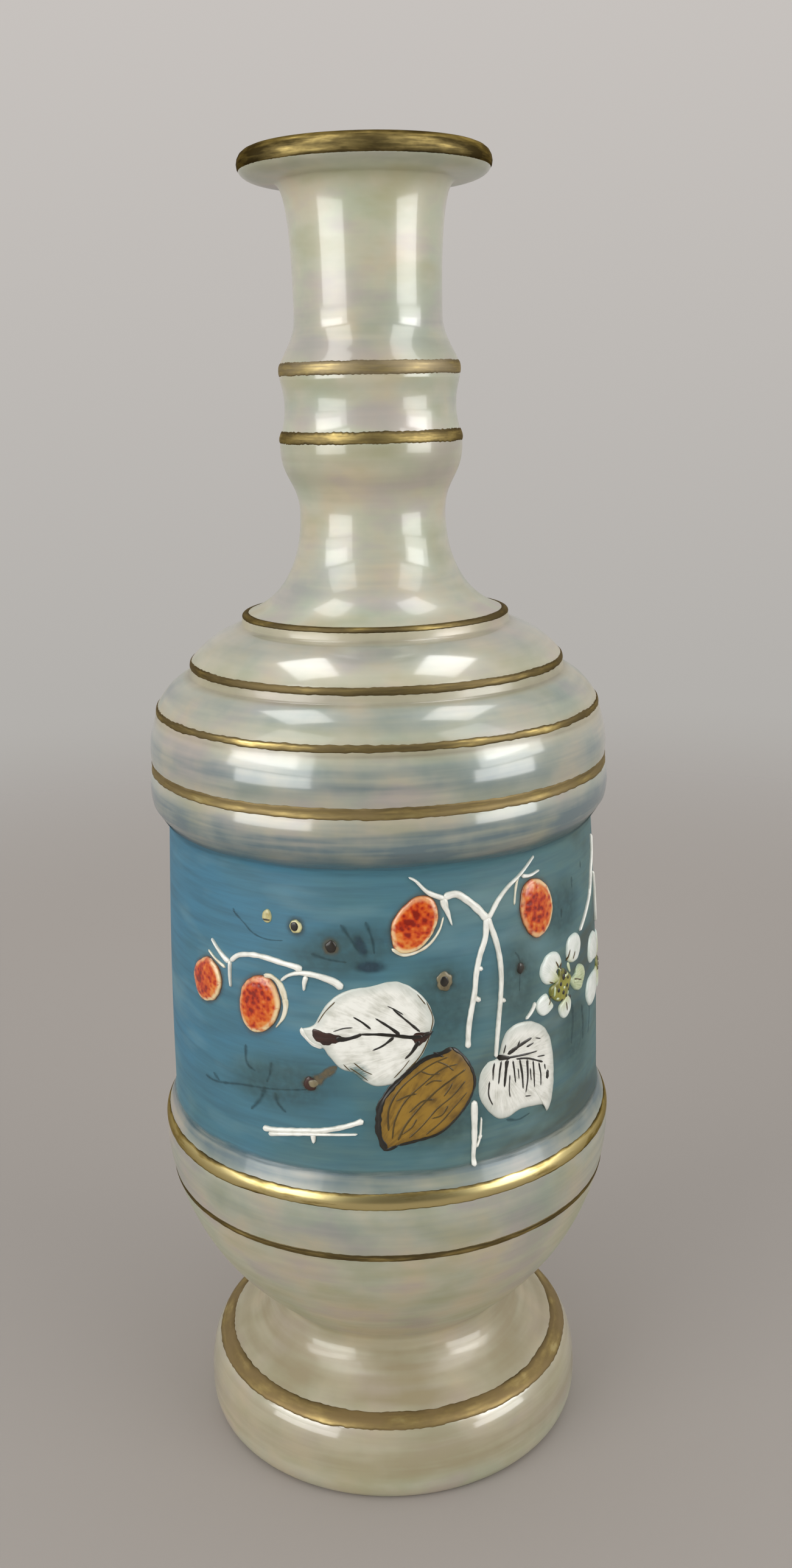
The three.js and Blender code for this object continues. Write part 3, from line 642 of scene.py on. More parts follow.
# A daub inside a rim: crowned, ridged by the brush, closed underneath. The fan point is where
# the brush strokes spread from.
def addDaub(shape, rim, relief, rings, below=(), fan=None, ridge=0.0, seed=0.0, crown=4, pale=None, thin=None):
    middle = rim.mean(axis=0)
    fan = middle - (0, brushLook["fanAway"]) if fan is None else np.array(fan)
    low = brushLook["edgeHeight"]
    tops, backs = [], []
    for ring in range(rings + 1):
        reach = (ring / rings) ** brushLook["ringSpread"]
        top, back = [], []
        for edge in rim if ring else rim[:1]:
            spot = middle + (edge - middle) * reach
            along = float(np.hypot(*(spot - fan)))
            side = math.atan2(*(spot - fan)[::-1]) * brushLook["strokeTurns"]
            place = Vector((side * brushLook["strokeWidth"], along * brushLook["strokeLength"], seed))
            lift = relief * (low + (1 - low) * (1 - reach ** crown) ** 0.5)
            lift += ridge * noise.noise(place) * (1 - reach ** brushLook["ridgeFade"])
            marks = {"reach": reach, "along": along, "side": side}
            if pale is not None:
                facing = math.atan2(*(edge - middle)[::-1]) - math.radians(pale)
                marks["pale"] = 0.5 + 0.5 * math.cos(facing)
            if thin is not None:
                marks["thin"] = math.exp(-((spot - thin[:2]) ** 2).sum() / thin[2] ** 2)
            top.append(addPoint(shape, onSpray(*spot, lift, below), **marks))
            back.append(addPoint(shape, onSpray(*spot, brushLook["sunk"], below), **{**marks, "reach": 1.0}))
        tops.append(top)
        backs.append(back)
    joinRings(shape, [*backs, *reversed(tops)])


# A loaded brush stroke: rounded ends, a little wobble, paint heaped at the knobs.
def addStroke(shape, points, startWidth, endWidth, relief, below, wobble, knobs=(0, 0), seed=0,
              spacing=brushLook["curveSpacing"]):
    places = smoothCurve(points, spacing)
    travelled = travelledAlong(places)
    tangents = np.gradient(places, axis=0)
    tangents /= np.hypot(*tangents.T)[:, None]
    sides, endHeight = brushLook["sides"], brushLook["endHeight"]
    rings = []
    for place, tangent, along in zip(places, tangents, travelled):
        left = travelled[-1] - along
        width = startWidth + (endWidth - startWidth) * along / travelled[-1]
        ending = 1.0
        for gap, knob, end in ((along, knobs[0], startWidth), (left, knobs[1], endWidth)):
            width *= 1 + knob * math.exp(-(gap / brushLook["knobLength"]) ** 2)
            ending *= math.sqrt(max(brushLook["tip"], 1 - max(0.0, 1 - gap / (end / 2 + brushLook["tipSlack"])) ** 2))
        shake = noise.noise(Vector((along * brushLook["wobbleLength"], seed, brushLook["wobbleSeed"])))
        width *= 1 + wobble * shake
        ring = []
        for step in range(2 * sides):
            turn = math.pi * step / sides
            sideways = -math.cos(turn) * width / 2 * ending
            lift, reach = brushLook["sunk"], 1.0
            if step <= sides:
                lift = relief * math.sin(turn) ** brushLook["crown"] * (endHeight + (1 - endHeight) * ending)
                reach = abs(math.cos(turn))
            spot = place + np.array((tangent[1], -tangent[0])) * sideways
            ring.append(addPoint(shape, onSpray(*spot, lift, below), reach=reach, along=along, side=sideways))
        rings.append(ring)
    joinRings(shape, rings)
    shape["faces"] += [tuple(reversed(rings[0])), tuple(rings[-1])]


def daubPiece(name, rim, relief, rings, paint, slot, nodes=(), **brush):
    shape = newShape()
    addDaub(shape, rim, relief, rings, **brush)
    finishPaint(shape, name, paint, nodes)


# Opaque raised glass enamel, painted on thick and fired to a soft gloss. Brush streaks run
# along the strokes, and the paint is thinner and cooler at its rim.
enamelLook = {"gloss": 0.3, "dabWidth": 2.6, "streakDepth": 0.06}


def paintedEnamel(name, body, streak, rim, roughness=0.32, streakWidth=0.45, thinTint=None):
    material, tree, shader, _, reach, along, side, dabs = startMaterial(name, {
        "IOR": 1.5, "Coat Weight": enamelLook["gloss"], "Coat Roughness": 0.15, "Roughness": roughness,
    }, ("reach", "along", "side"), ((enamelLook["dabWidth"], 3.0, 0.5),))
    brushed = addNode(tree, "CombineXYZ", (side, along))
    brushed = addNode(tree, "Mapping", {"Vector": brushed, "Scale": (1.0, 0.12, 1.0)})
    streaks = addNode(tree, "TexNoise", {
        "Vector": brushed, "Scale": 1 / streakWidth, "Detail": 4.0, "Roughness": 0.65,
    })
    streaked = addNode(tree, "Math", (streaks, dabs), operation="MULTIPLY")
    tints = [((streaked, 0.2, 0.42), streak), ((reach, 0.8, 1.0, 0, 0.8), rim)]
    if thinTint:
        thin = addNode(tree, "Attribute", out="Fac", attribute_name="thin")
        hatched = addNode(tree, "Math", (thin, streaks), operation="MULTIPLY")
        tints.append(((hatched, 0.1, 0.4), thinTint))
    colour = linearColour(body)
    for ranged, tint in tints:
        amount = addNode(tree, "MapRange", ranged)
        colour = addNode(tree, "Mix", {0: amount, 6: colour, 7: linearColour(tint)}, 2, data_type="RGBA")
    bump = addNode(tree, "Bump", {"Height": streaks, "Strength": 0.5, "Distance": enamelLook["streakDepth"] * mm})
    fillSockets(tree, shader, {"Base Color": colour, "Normal": bump})
    return material


# Thin washes under and beside the raised work: they fade out towards their rim.
washLook = {
    "roughness": 0.5, "patchWidth": 1.2, "relief": 0.03, "rings": 8, "taper": 0.5, "wobble": 0.4, "patchSpacing": 0.6,
}


def thinWash(name, colour, strength, hold=0.0):
    material, tree, shader, _, reach, patchy = startMaterial(name, {
        "IOR": 1.5, "Roughness": washLook["roughness"], "Base Color": linearColour(colour),
    }, ("reach",), ((washLook["patchWidth"], 3.0, 0.5),))
    fade = addNode(tree, "MapRange", (reach, 1.0, hold, 0, strength), interpolation_type="SMOOTHSTEP")
    uneven = addNode(tree, "MapRange", (patchy, 0.3, 0.6, 0.6, 1))
    fillSockets(tree, shader, {"Alpha": addNode(tree, "Math", (fade, uneven), operation="MULTIPLY")})
    return material


whiteEnamel = paintedEnamel("raisedWhiteEnamel", "#f4f3ea", "#cbcabd", "#bcc2b8", thinTint="#66807e")
petalEnamel = paintedEnamel("petalWhiteEnamel", "#f2f5ee", "#d3dcd0", "#c2d2c9", thinTint="#b9c078")
creamEnamel = paintedEnamel("raisedCreamEnamel", "#efe8d2", "#cdbf9a", "#a9b5a4")
goldEnamel = paintedEnamel("brownGoldEnamel", "#96721e", "#624710", "#6f5316", roughness=0.42, streakWidth=0.7)
oliveLining = paintedEnamel("oliveLiningEnamel", "#54410f", "#3b2d0b", "#574414", roughness=0.42)
blackEnamel = paintedEnamel("blackLiningEnamel", "#1a1712", "#2c2519", "#26231c", roughness=0.38)
brownEnamel = paintedEnamel("redBrownEnamel", "#3c1c10", "#1c0e08", "#2c1c15", roughness=0.4)
dustyEnamel = paintedEnamel("dustyBrownEnamel", "#857a5c", "#5f533a", "#64624c", roughness=0.45)
greenEnamel = paintedEnamel("yellowGreenEnamel", "#9a9638", "#4c4b14", "#6f7636", streakWidth=0.6)
paleGreenEnamel = paintedEnamel("paleGreenEnamel", "#d3dcb6", "#a3b47c", "#8ea68c")
berryWash = thinWash("rustyBerryWash", "#6a5238", 0.8, hold=0.6)
tealWash = thinWash("darkTealWash", "#2b4c55", 0.5, hold=0.0)
leafWash = thinWash("slateLeafWash", "#2b4452", 0.85, hold=0.25)
hazeWash = thinWash("smokyTealWash", "#46605c", 0.42, hold=0.3)
smokeWash = thinWash("smokyBrownWash", "#4a4636", 0.7, hold=0.25)
tailWash = thinWash("oliveBrownWash", "#6d6046", 0.9, hold=0.35)
paleGold = paintedEnamel("paleGoldEnamel", "#dcd4a0", "#a8985a", "#8f9a72")

# Translucent orange-red enamel over a pale priming: mottled grains like a berry's, deeper in
# the middle, with the priming showing cream at the rim on one side.
berryLook = {
    "deep": "#8a1a02", "red": "#bd3204", "orange": "#d95f14", "light": "#e38a3c", "cream": "#f3d8a6",
    "edge": "#6e3216", "grain": 0.8, "grainDepth": 0.15, "patchWidth": 1.5, "halo": 1.24,
    "relief": 0.85, "rings": 16, "ridge": 0.05, "crown": 3, "spacing": 0.3, "ragged": (0.12, 1.2), "seed": 2,
}


def berryEnamel():
    material, tree, shader, place, reach, pale, patchy = startMaterial("translucentBerryEnamel", {
        "IOR": 1.5, "Roughness": 0.22, "Coat Weight": 0.4, "Coat Roughness": 0.1,
    }, ("reach", "pale"), ((berryLook["patchWidth"], 4.0, 0.5),))
    grainScale = 1 / (berryLook["grain"] * mm)
    grains = addNode(tree, "TexVoronoi", {"Vector": place, "Scale": grainScale}, feature="SMOOTH_F1")
    outer = addNode(tree, "Math", (reach, 2.5), operation="POWER")
    tone = addNode(tree, "Math", (patchy, 0.3), operation="SUBTRACT")
    for lighter, share in ((grains, 0.6), (outer, 0.3), (pale, 0.16)):
        tone = addNode(tree, "Math", (lighter, share, tone), operation="MULTIPLY_ADD")
    colour = addNode(tree, "ValToRGB", (tone,), stops=[
        (0.4, berryLook["deep"]), (0.54, berryLook["red"]), (0.72, berryLook["orange"]), (0.9, berryLook["light"]),
    ])
    shown = addNode(tree, "MapRange", (reach, 0.76, 0.9), interpolation_type="SMOOTHSTEP")
    for ranged in ((pale, 0.2, 0.8, 0.35, 1), (patchy, 0.38, 0.5, 0.25, 1)):
        shown = addNode(tree, "Math", (shown, addNode(tree, "MapRange", ranged)), operation="MULTIPLY")
    edge = addNode(tree, "MapRange", (reach, 0.95, 1.0, 0, 0.85))
    for amount, tint in ((shown, "cream"), (edge, "edge")):
        colour = addNode(tree, "Mix", {0: amount, 6: colour, 7: linearColour(berryLook[tint])}, 2, data_type="RGBA")
    bump = addNode(tree, "Bump", {"Height": grains, "Strength": 0.5, "Distance": berryLook["grainDepth"] * mm})
    fillSockets(tree, shader, {"Base Color": colour, "Normal": bump})
    return material


def washPiece(name, rims, wash, strokes=()):
    shape = newShape()
    for rim in rims:
        addDaub(shape, rim, washLook["relief"], washLook["rings"])
    for points, width in strokes:
        addStroke(shape, points, width, width * washLook["taper"], washLook["relief"], (), washLook["wobble"])
    finishPaint(shape, name, wash)


# Smoky patches, and faint dark sprigs that the painter wiped back, under everything else.
washPiece("smokyPatches", [ovalRim(*oval, washLook["patchSpacing"]) for oval in (
    ((-7.0, 41.0), (14.0, 6.5), -12), ((10.0, 30.0), (9.0, 12.0), 4), ((25.0, 32.0), (7.0, 11.0), 0),
    ((38.0, 42.0), (8.0, 8.0), 0), ((-19.0, 15.0), (15.0, 7.0), -4), ((42.0, 16.0), (8.0, 9.0), 0),
    ((8.0, 9.0), (16.0, 8.0), 0),
)], hazeWash)
faintSprigs = {
    "sprigLeft": [
        ([(-38.2, 11.2), (-34.9, 11.1), (-27.5, 12.7), (-20.1, 13.6), (-14.1, 14.6)], 0.9),
        ([(-26.6, 20.9), (-26.5, 17.4), (-24.5, 16.1)], 1.3),
        ([(-21.0, 18.7), (-21.5, 16.2), (-22.2, 14.5)], 1.3),
        ([(-22.5, 13.6), (-23.6, 11.0), (-25.9, 8.3)], 1.7),
        ([(-20.5, 12.9), (-20.0, 11.0), (-18.4, 9.4)], 1.6),
        ([(-35.6, 12.6), (-33.8, 11.6)], 1.6),
    ],
    "sprigTop": [
        ([(-28.9, 46.2), (-28.6, 45.4)], 1.3),
        ([(-28.8, 45.6), (-26.4, 44.0), (-24.4, 42.5), (-21.5, 41.8), (-18.1, 42.0)], 0.7),
        ([(-7.4, 45.8), (-5.6, 43.2), (-4.4, 41.2)], 1.3),
        ([(-3.0, 46.4), (-1.9, 43.2), (-1.6, 40.6)], 1.1),
        ([(-12.8, 40.2), (-9.6, 39.4), (-6.4, 39.0)], 1.0),
    ],
    "sprigRight": [
        ([(40.6, 22.5), (40.7, 18.8), (39.9, 14.8)], 1.5),
        ([(44.7, 20.9), (45.3, 17.6), (45.1, 13.6)], 1.5),
        ([(49.4, 20.2), (49.2, 16.4), (48.2, 13.6)], 1.3),
        ([(37.4, 42.4), (37.4, 40.6)], 1.1),
        ([(41.7, 47.2), (41.7, 45.0)], 1.1),
        ([(46.1, 49.0), (46.1, 47.6)], 1.2),
        ([(24.6, 37.6), (25.6, 35.6), (25.4, 30.0)], 0.6),
        ([(22.0, 6.0), (24.6, 5.2), (27.4, 5.6)], 1.0),
    ],
}
for name, strokes in faintSprigs.items():
    washPiece(name, [], tealWash, strokes=strokes)
washPiece("darkLeafSmudge", [ovalRim((-2.6, 38.3), (3.7, 1.5), 2), ovalRim((-3.9, 42.0), (1.3, 2.9), -24)], leafWash)

# Berries: where the pale rim faces, in degrees up from the right, and the outline.
berries = {
    "berryFarLeft": (-30, [
        (-39.4, 33.5), (-36.6, 35.2), (-34.7, 35.1), (-32.8, 33.7), (-32.1, 31.6), (-32.8, 29.3), (-34.5, 27.3),
        (-37.5, 26.4), (-39.6, 27.4), (-40.8, 29.9), (-40.6, 31.9),
    ]),
    "berryLeft": (-50, [
        (-27.6, 28.3), (-26.9, 32.0), (-24.6, 34.3), (-22.2, 34.9), (-20.1, 34.0), (-18.9, 31.2), (-19.1, 28.7),
        (-20.5, 25.9), (-22.8, 24.1), (-25.3, 23.9), (-27.0, 25.7),
    ]),
    "berryMiddle": (-65, [
        (1.3, 44.1), (1.8, 46.8), (3.8, 49.2), (5.9, 50.6), (8.0, 50.5), (9.3, 49.1), (9.7, 46.7), (8.8, 44.1),
        (6.9, 41.7), (4.3, 40.5), (2.1, 41.1),
    ]),
    "berryRight": (0, [
        (26.0, 45.3), (26.6, 48.6), (28.3, 50.0), (30.4, 49.9), (32.8, 48.3), (34.3, 44.9), (33.9, 41.6),
        (31.9, 39.4), (29.7, 39.0), (27.6, 40.7), (26.4, 43.1),
    ]),
}
berryPaint = berryEnamel()
for number, (name, (pale, outline)) in enumerate(berries.items()):
    rim = smoothCurve(outline, berryLook["spacing"], closed=True)
    middle = rim.mean(axis=0)
    washPiece(name + "Halo", [middle + (rim - middle) * berryLook["halo"]], berryWash)
    rim = ragged(rim, *berryLook["ragged"], berryLook["seed"] + number)
    daubPiece(name, rim, berryLook["relief"], berryLook["rings"], berryPaint, "red_enamel", [nodeOf(name)],
              crown=berryLook["crown"], pale=pale, ridge=berryLook["ridge"], seed=number)
print("berries painted:", len(berries))

# Leaves: slot, paint, outline from the tip, where the brush fans from, and a spot rubbed thin.
leaves = {
    "leafWhiteLeft": ("white_enamel", whiteEnamel, [
        (-14.8, 26.1), (-12.6, 27.1), (-10.9, 30.1), (-8.7, 32.6), (-5.8, 34.1), (-2.3, 34.7), (0.7, 35.5),
        (3.3, 35.1), (5.8, 33.3), (7.6, 30.9), (8.5, 27.8), (8.0, 25.9), (7.1, 23.2), (5.7, 20.8), (3.5, 18.5),
        (1.0, 16.5), (-1.6, 16.1), (-3.7, 16.9), (-5.8, 18.6), (-7.8, 19.2), (-9.9, 21.4), (-11.1, 22.9),
        (-13.0, 23.6), (-14.5, 25.0),
    ], (10.5, 24.5), (-4.9, 18.5, 1.9)),
    "leafGold": ("gold_enamel", goldEnamel, [
        (-0.5, 3.8), (-1.6, 7.0), (-1.6, 9.8), (-1.2, 12.5), (0.3, 15.1), (3.2, 18.2), (6.5, 20.7), (9.5, 21.5),
        (11.6, 22.3), (13.6, 20.4), (15.3, 17.2), (15.6, 14.3), (14.1, 11.0), (11.3, 7.9), (8.6, 6.1), (4.6, 5.2),
        (1.7, 4.6),
    ], (-4.0, 1.0), None),
    "leafWhiteRight": ("white_enamel", whiteEnamel, [
        (20.3, 18.6), (21.3, 21.3), (22.6, 23.3), (25.1, 24.0), (28.2, 23.4), (31.5, 21.1), (33.3, 17.2),
        (33.8, 11.4), (33.2, 6.7), (31.8, 4.4), (30.8, 6.0), (27.9, 6.8), (24.8, 7.1), (22.3, 6.4), (19.9, 6.9),
        (17.7, 9.5), (16.5, 12.3), (16.7, 15.9), (18.2, 18.0),
    ], (20.0, 18.0), None),
}
leafLook = {
    "relief": 0.42, "rings": 26, "ridge": 0.06, "ridgeSeed": 5, "crown": 6,
    "spacing": 0.35, "ragged": (0.1, 1.3), "seed": 9,
}
for number, (name, (slot, paint, edge, fan, thin)) in enumerate(leaves.items()):
    rim = ragged(smoothCurve(edge, leafLook["spacing"], closed=True), *leafLook["ragged"], leafLook["seed"] + number)
    daubPiece(name, rim, leafLook["relief"], leafLook["rings"], paint, slot, [nodeOf(name)],
              fan=fan, ridge=leafLook["ridge"], seed=leafLook["ridgeSeed"] + number, crown=leafLook["crown"],
              thin=thin)

# Lining on the leaves: midribs and veins with a fine brush, as points and widths.
liningLook = {"relief": 0.1, "wobble": 0.3, "spacing": 0.35, "edgeRelief": 0.16, "edgeWobble": 0.5}


def liningPiece(name, strokes, paint, below, relief=liningLook["relief"]):
    shape = newShape()
    for number, (points, start, end) in enumerate(strokes):
        addStroke(shape, points, start, end, relief, below, liningLook["wobble"], seed=number,
                  spacing=liningLook["spacing"])
    finishPaint(shape, name, paint)


patchLook = {"spacing": 0.25, "ragged": (0.3, 0.8), "seed": 20, "rings": 8, "ridge": 0.03, "fan": (10.0, 25.0)}
leftLeafPatches = newShape()
for number, edge in enumerate((
    [(-12.5, 26.4), (-9.8, 25.9), (-7.7, 25.6), (-7.9, 24.4), (-10.8, 23.7), (-12.4, 24.6)],
    [(4.4, 25.4), (5.9, 25.9), (8.1, 25.6), (6.8, 24.3), (5.5, 23.5), (4.7, 24.4)],
)):
    rim = smoothCurve(edge, patchLook["spacing"], closed=True)
    rim = ragged(rim, *patchLook["ragged"], patchLook["seed"] + number)
    addDaub(leftLeafPatches, rim, liningLook["relief"], patchLook["rings"], ["leafWhiteLeft"], fan=patchLook["fan"],
            ridge=patchLook["ridge"])
finishPaint(leftLeafPatches, "leftLeafPatches", brownEnamel)
liningPiece("leftLeafVeins", [
    ([(-8.6, 25.0), (-6.9, 25.0), (-5.0, 25.6), (-4.0, 26.1)], 1.0, 0.5),
    ([(-4.4, 26.0), (-1.4, 26.0), (0.6, 25.8), (2.1, 25.6), (4.4, 25.2), (6.4, 25.2)], 0.4, 0.75),
    ([(6.4, 25.3), (8.3, 25.8)], 0.5, 0.3),
    ([(-5.5, 29.2), (-3.9, 28.2), (-2.5, 27.0)], 0.28, 0.5),
    ([(-1.7, 29.0), (0.8, 27.2), (2.4, 25.8)], 0.28, 0.65),
    ([(1.3, 30.6), (4.0, 28.0), (5.9, 26.1)], 0.28, 0.5),
    ([(0.4, 31.2), (1.7, 30.5), (3.1, 29.5)], 0.22, 0.22),
    ([(1.4, 25.4), (-0.5, 23.9), (-2.3, 23.0)], 0.6, 0.25),
    ([(5.7, 24.4), (4.4, 22.4), (3.2, 21.2)], 0.9, 0.35),
    ([(-9.0, 26.3), (-7.2, 27.0), (-5.6, 27.2)], 0.25, 0.2),
], blackEnamel, ["leafWhiteLeft", "leftLeafPatches"])
liningPiece("leftLeafShading", [
    ([(7.2, 31.4), (8.2, 28.6), (7.9, 26.3), (7.0, 23.6), (5.5, 21.0), (3.2, 18.6)], 0.18, 0.3),
    ([(-6.3, 19.6), (-4.6, 18.4), (-3.2, 17.2)], 0.25, 0.15),
    ([(-5.6, 20.6), (-3.9, 19.2), (-2.4, 18.4)], 0.25, 0.15), ([(-7.4, 20.2), (-6.2, 18.9)], 0.25, 0.15),
    ([(-11.8, 27.6), (-10.4, 29.8), (-8.6, 31.8)], 0.15, 0.22), ([(1.2, 17.6), (2.8, 19.4), (4.0, 21.0)], 0.2, 0.15),
    ([(5.6, 33.0), (7.0, 31.0)], 0.15, 0.25),
], oliveLining, ["leafWhiteLeft"], relief=0.06)
liningPiece("leftLeafTip", [
    ([(-14.9, 26.3), (-14.5, 25.2), (-13.0, 23.6), (-11.1, 22.9)], 1.0, 0.7),
], whiteEnamel, ["leafWhiteLeft", "leftLeafPatches"], relief=0.2)
goldEdge = leaves["leafGold"][2]
goldRing = newShape()
for points, start, end in (
    (goldEdge[:9], 1.15, 0.6), (goldEdge[8:], 0.5, 0.6), ([goldEdge[-1], goldEdge[0], (-1.0, 5.2)], 0.5, 1.1),
    ([(8.2, 21.8), (10.0, 20.9)], 0.5, 0.3),
):
    addStroke(goldRing, points, start, end, liningLook["edgeRelief"], ["leafGold", "leafWhiteLeft"],
              liningLook["edgeWobble"], spacing=liningLook["spacing"])
finishPaint(goldRing, "goldLeafOutline", blackEnamel)
liningPiece("goldLeafVeins", [
    ([(0.1, 7.6), (0.2, 11.6), (1.9, 15.1), (4.5, 17.7), (7.8, 19.8), (10.8, 20.8)], 0.35, 0.25),
    ([(0.7, 6.1), (1.3, 9.7), (3.1, 13.2), (6.1, 16.1), (9.5, 18.6), (12.5, 19.2)], 0.3, 0.25),
    ([(1.7, 5.7), (3.0, 8.5), (5.4, 11.6), (8.4, 14.5), (11.4, 16.5), (13.9, 17.9)], 0.4, 0.3),
    ([(3.6, 6.0), (6.0, 8.3), (8.6, 11.2), (11.4, 13.3), (13.8, 15.7)], 0.3, 0.25),
    ([(6.6, 6.4), (9.3, 8.6), (11.7, 11.1), (14.1, 13.5)], 0.3, 0.2),
    ([(1.5, 13.3), (3.5, 14.2), (5.1, 14.5)], 0.25, 0.35), ([(3.7, 11.0), (6.0, 12.9), (8.0, 13.1)], 0.3, 0.35),
    ([(5.8, 18.7), (7.5, 17.9), (9.2, 17.9)], 0.3, 0.3), ([(8.6, 20.3), (10.4, 19.3), (11.7, 18.0)], 0.3, 0.25),
    ([(2.4, 6.8), (4.1, 8.1), (5.0, 9.7)], 0.3, 0.25), ([(9.8, 13.4), (10.9, 14.8), (11.4, 15.7)], 0.25, 0.3),
    ([(6.6, 15.9), (8.0, 16.6), (9.6, 16.4)], 0.3, 0.25), ([(7.6, 9.4), (9.4, 9.9), (10.6, 11.6)], 0.25, 0.3),
], oliveLining, ["leafGold"], relief=0.07)
liningPiece("rightLeafVeins", [
    ([(20.1, 18.6), (21.2, 18.5), (22.8, 18.0)], 1.1, 0.7), ([(22.2, 18.9), (25.0, 19.9), (27.7, 20.5)], 0.95, 0.4),
    ([(22.5, 18.2), (25.8, 17.8), (29.0, 17.5)], 0.45, 0.3), ([(24.0, 17.5), (26.7, 16.8), (30.4, 14.9)], 0.4, 0.35),
    ([(31.6, 12.9), (31.6, 11.1)], 0.9, 0.7), ([(19.5, 17.9), (19.2, 16.6), (19.1, 14.6)], 0.4, 0.2),
    ([(20.9, 17.9), (20.5, 16.1), (20.2, 13.6)], 0.45, 0.25),
    ([(22.1, 17.9), (21.7, 15.3), (21.4, 12.7)], 0.85, 0.35), ([(23.3, 17.4), (23.6, 15.0), (23.8, 12.9)], 0.4, 0.25),
    ([(24.8, 17.2), (25.3, 14.3), (25.5, 11.2)], 0.5, 0.3), ([(26.5, 16.7), (26.6, 13.2), (26.1, 10.2)], 0.5, 0.25),
    ([(27.9, 16.0), (28.1, 13.4), (28.2, 10.6)], 0.4, 0.25), ([(29.3, 15.2), (29.8, 12.6), (29.8, 10.4)], 0.4, 0.25),
    ([(24.1, 19.2), (24.9, 20.8)], 0.35, 0.3), ([(26.4, 19.1), (28.2, 19.4)], 0.4, 0.3),
    ([(24.4, 15.6), (24.6, 13.4)], 0.25, 0.2), ([(27.2, 14.8), (27.4, 12.2)], 0.25, 0.2),
    ([(29.0, 16.4), (31.0, 16.0)], 0.3, 0.25), ([(30.8, 14.4), (31.0, 13.2)], 0.3, 0.25),
    ([(18.4, 14.6), (18.2, 12.0), (19.0, 9.8)], 0.3, 0.2), ([(22.6, 14.8), (22.4, 12.0), (22.6, 10.4)], 0.25, 0.2),
    ([(21.4, 19.2), (21.9, 20.8)], 0.3, 0.2), ([(28.6, 20.2), (30.0, 19.6)], 0.25, 0.2),
    ([(25.9, 9.6), (27.4, 9.2)], 0.3, 0.2),
], blackEnamel, ["leafWhiteRight"])
print("leaves painted:", len(leaves))

# White stems and twigs: strokes as points, the two widths and the knobs at the ends.
stems = {
    "stemLeft": [
        ([(-29.6, 36.2), (-27.6, 37.7), (-24.5, 38.4), (-21.6, 38.4), (-18.1, 37.9), (-15.6, 37.5),
            (-14.6, 36.9)], 0.95, 1.1, (0.1, 0.45)),
        ([(-7.3, 34.2), (-8.4, 35.2), (-10.2, 35.9), (-12.4, 36.4), (-14.9, 36.5), (-17.1, 35.8),
            (-18.6, 34.6)], 1.5, 0.5, (0.25, 0)),
        ([(-29.9, 36.2), (-30.7, 36.1), (-32.8, 37.5), (-34.7, 39.2)], 1.15, 0.3, (0, 0)),
        ([(-29.8, 36.1), (-29.9, 33.5), (-29.7, 31.2)], 0.95, 0.35, (0, 0)),
        ([(-13.7, 36.1), (-14.1, 34.8), (-14.2, 33.3)], 1.15, 0.45, (0, 0)),
    ],
    "stemMiddle": [
        ([(10.7, 50.0), (13.0, 50.3), (15.0, 49.0), (17.1, 47.0), (18.9, 44.8)], 1.25, 1.5, (0.1, 0.1)),
        ([(10.9, 49.7), (7.9, 51.2), (5.9, 53.3), (4.6, 54.1)], 1.15, 0.35, (0, 0)),
        ([(10.6, 50.0), (11.0, 48.2), (11.4, 47.2), (12.1, 44.8)], 1.7, 0.2, (0, 0)),
        ([(18.7, 45.3), (18.4, 41.7), (17.2, 38.5), (16.4, 35.2), (16.0, 31.9), (15.2, 28.2), (14.7, 25.1),
            (14.5, 21.7)], 1.15, 0.95, (0, 0.1)),
        ([(18.9, 45.3), (20.5, 40.6), (21.2, 37.1), (21.4, 33.5), (21.1, 29.4), (20.6, 25.3), (20.2, 21.8),
            (19.9, 18.8)], 1.15, 0.75, (0, 0)),
        ([(18.9, 44.9), (19.7, 45.8), (21.3, 48.0), (23.4, 49.9), (25.6, 51.2), (27.5, 52.5),
            (29.7, 54.3)], 1.05, 0.25, (0, 0)),
        ([(26.6, 51.2), (28.6, 50.9), (31.0, 51.4)], 0.8, 0.25, (0, 0)),
        ([(16.5, 36.4), (17.7, 35.9)], 1.0, 0.6, (0, 0.3)),
        ([(15.8, 31.0), (17.1, 30.2)], 1.0, 0.6, (0, 0.4)),
        ([(21.0, 29.6), (22.2, 29.0)], 0.9, 0.5, (0, 0.3)),
    ],
    "stemLower": [
        ([(15.5, 11.4), (15.5, 7.8), (15.4, 3.4), (15.2, 0.9), (15.2, -1.3)], 1.4, 0.7, (0.05, 0.45)),
        ([(15.8, 2.2), (16.5, 4.3), (16.8, 7.9)], 0.45, 0.3, (0, 0)),
        ([(16.3, 3.6), (16.7, 4.7)], 0.9, 0.6, (0, 0)),
    ],
    "stemRight": [
        ([(55.2, 51.6), (54.6, 48.0), (52.7, 45.0), (51.0, 41.3), (47.2, 38.1), (44.2, 35.9)], 0.9, 0.5, (0, 0)),
        ([(51.4, 41.9), (50.5, 40.4)], 1.2, 0.9, (0, 0)),
        ([(55.6, 44.0), (57.3, 39.5), (57.9, 33.0)], 0.7, 0.35, (0, 0)),
    ],
    "twigLow": [
        ([(-23.3, 5.3), (-19.8, 5.7), (-15.1, 6.5), (-11.3, 7.1), (-7.6, 8.1), (-4.2, 9.4)], 1.1, 0.95, (0.1, 0.5)),
        ([(-22.1, 4.5), (-17.7, 5.4), (-12.5, 6.2), (-5.3, 6.8)], 0.95, 0.35, (0.2, 0)),
        ([(-13.3, 6.3), (-13.2, 4.3)], 1.5, 0.4, (0, 0)),
    ],
    "twigShort": [
        ([(29.0, 26.9), (28.5, 26.0), (27.8, 25.2), (26.6, 24.3)], 0.8, 0.45, (0.1, 0)),
    ],
}
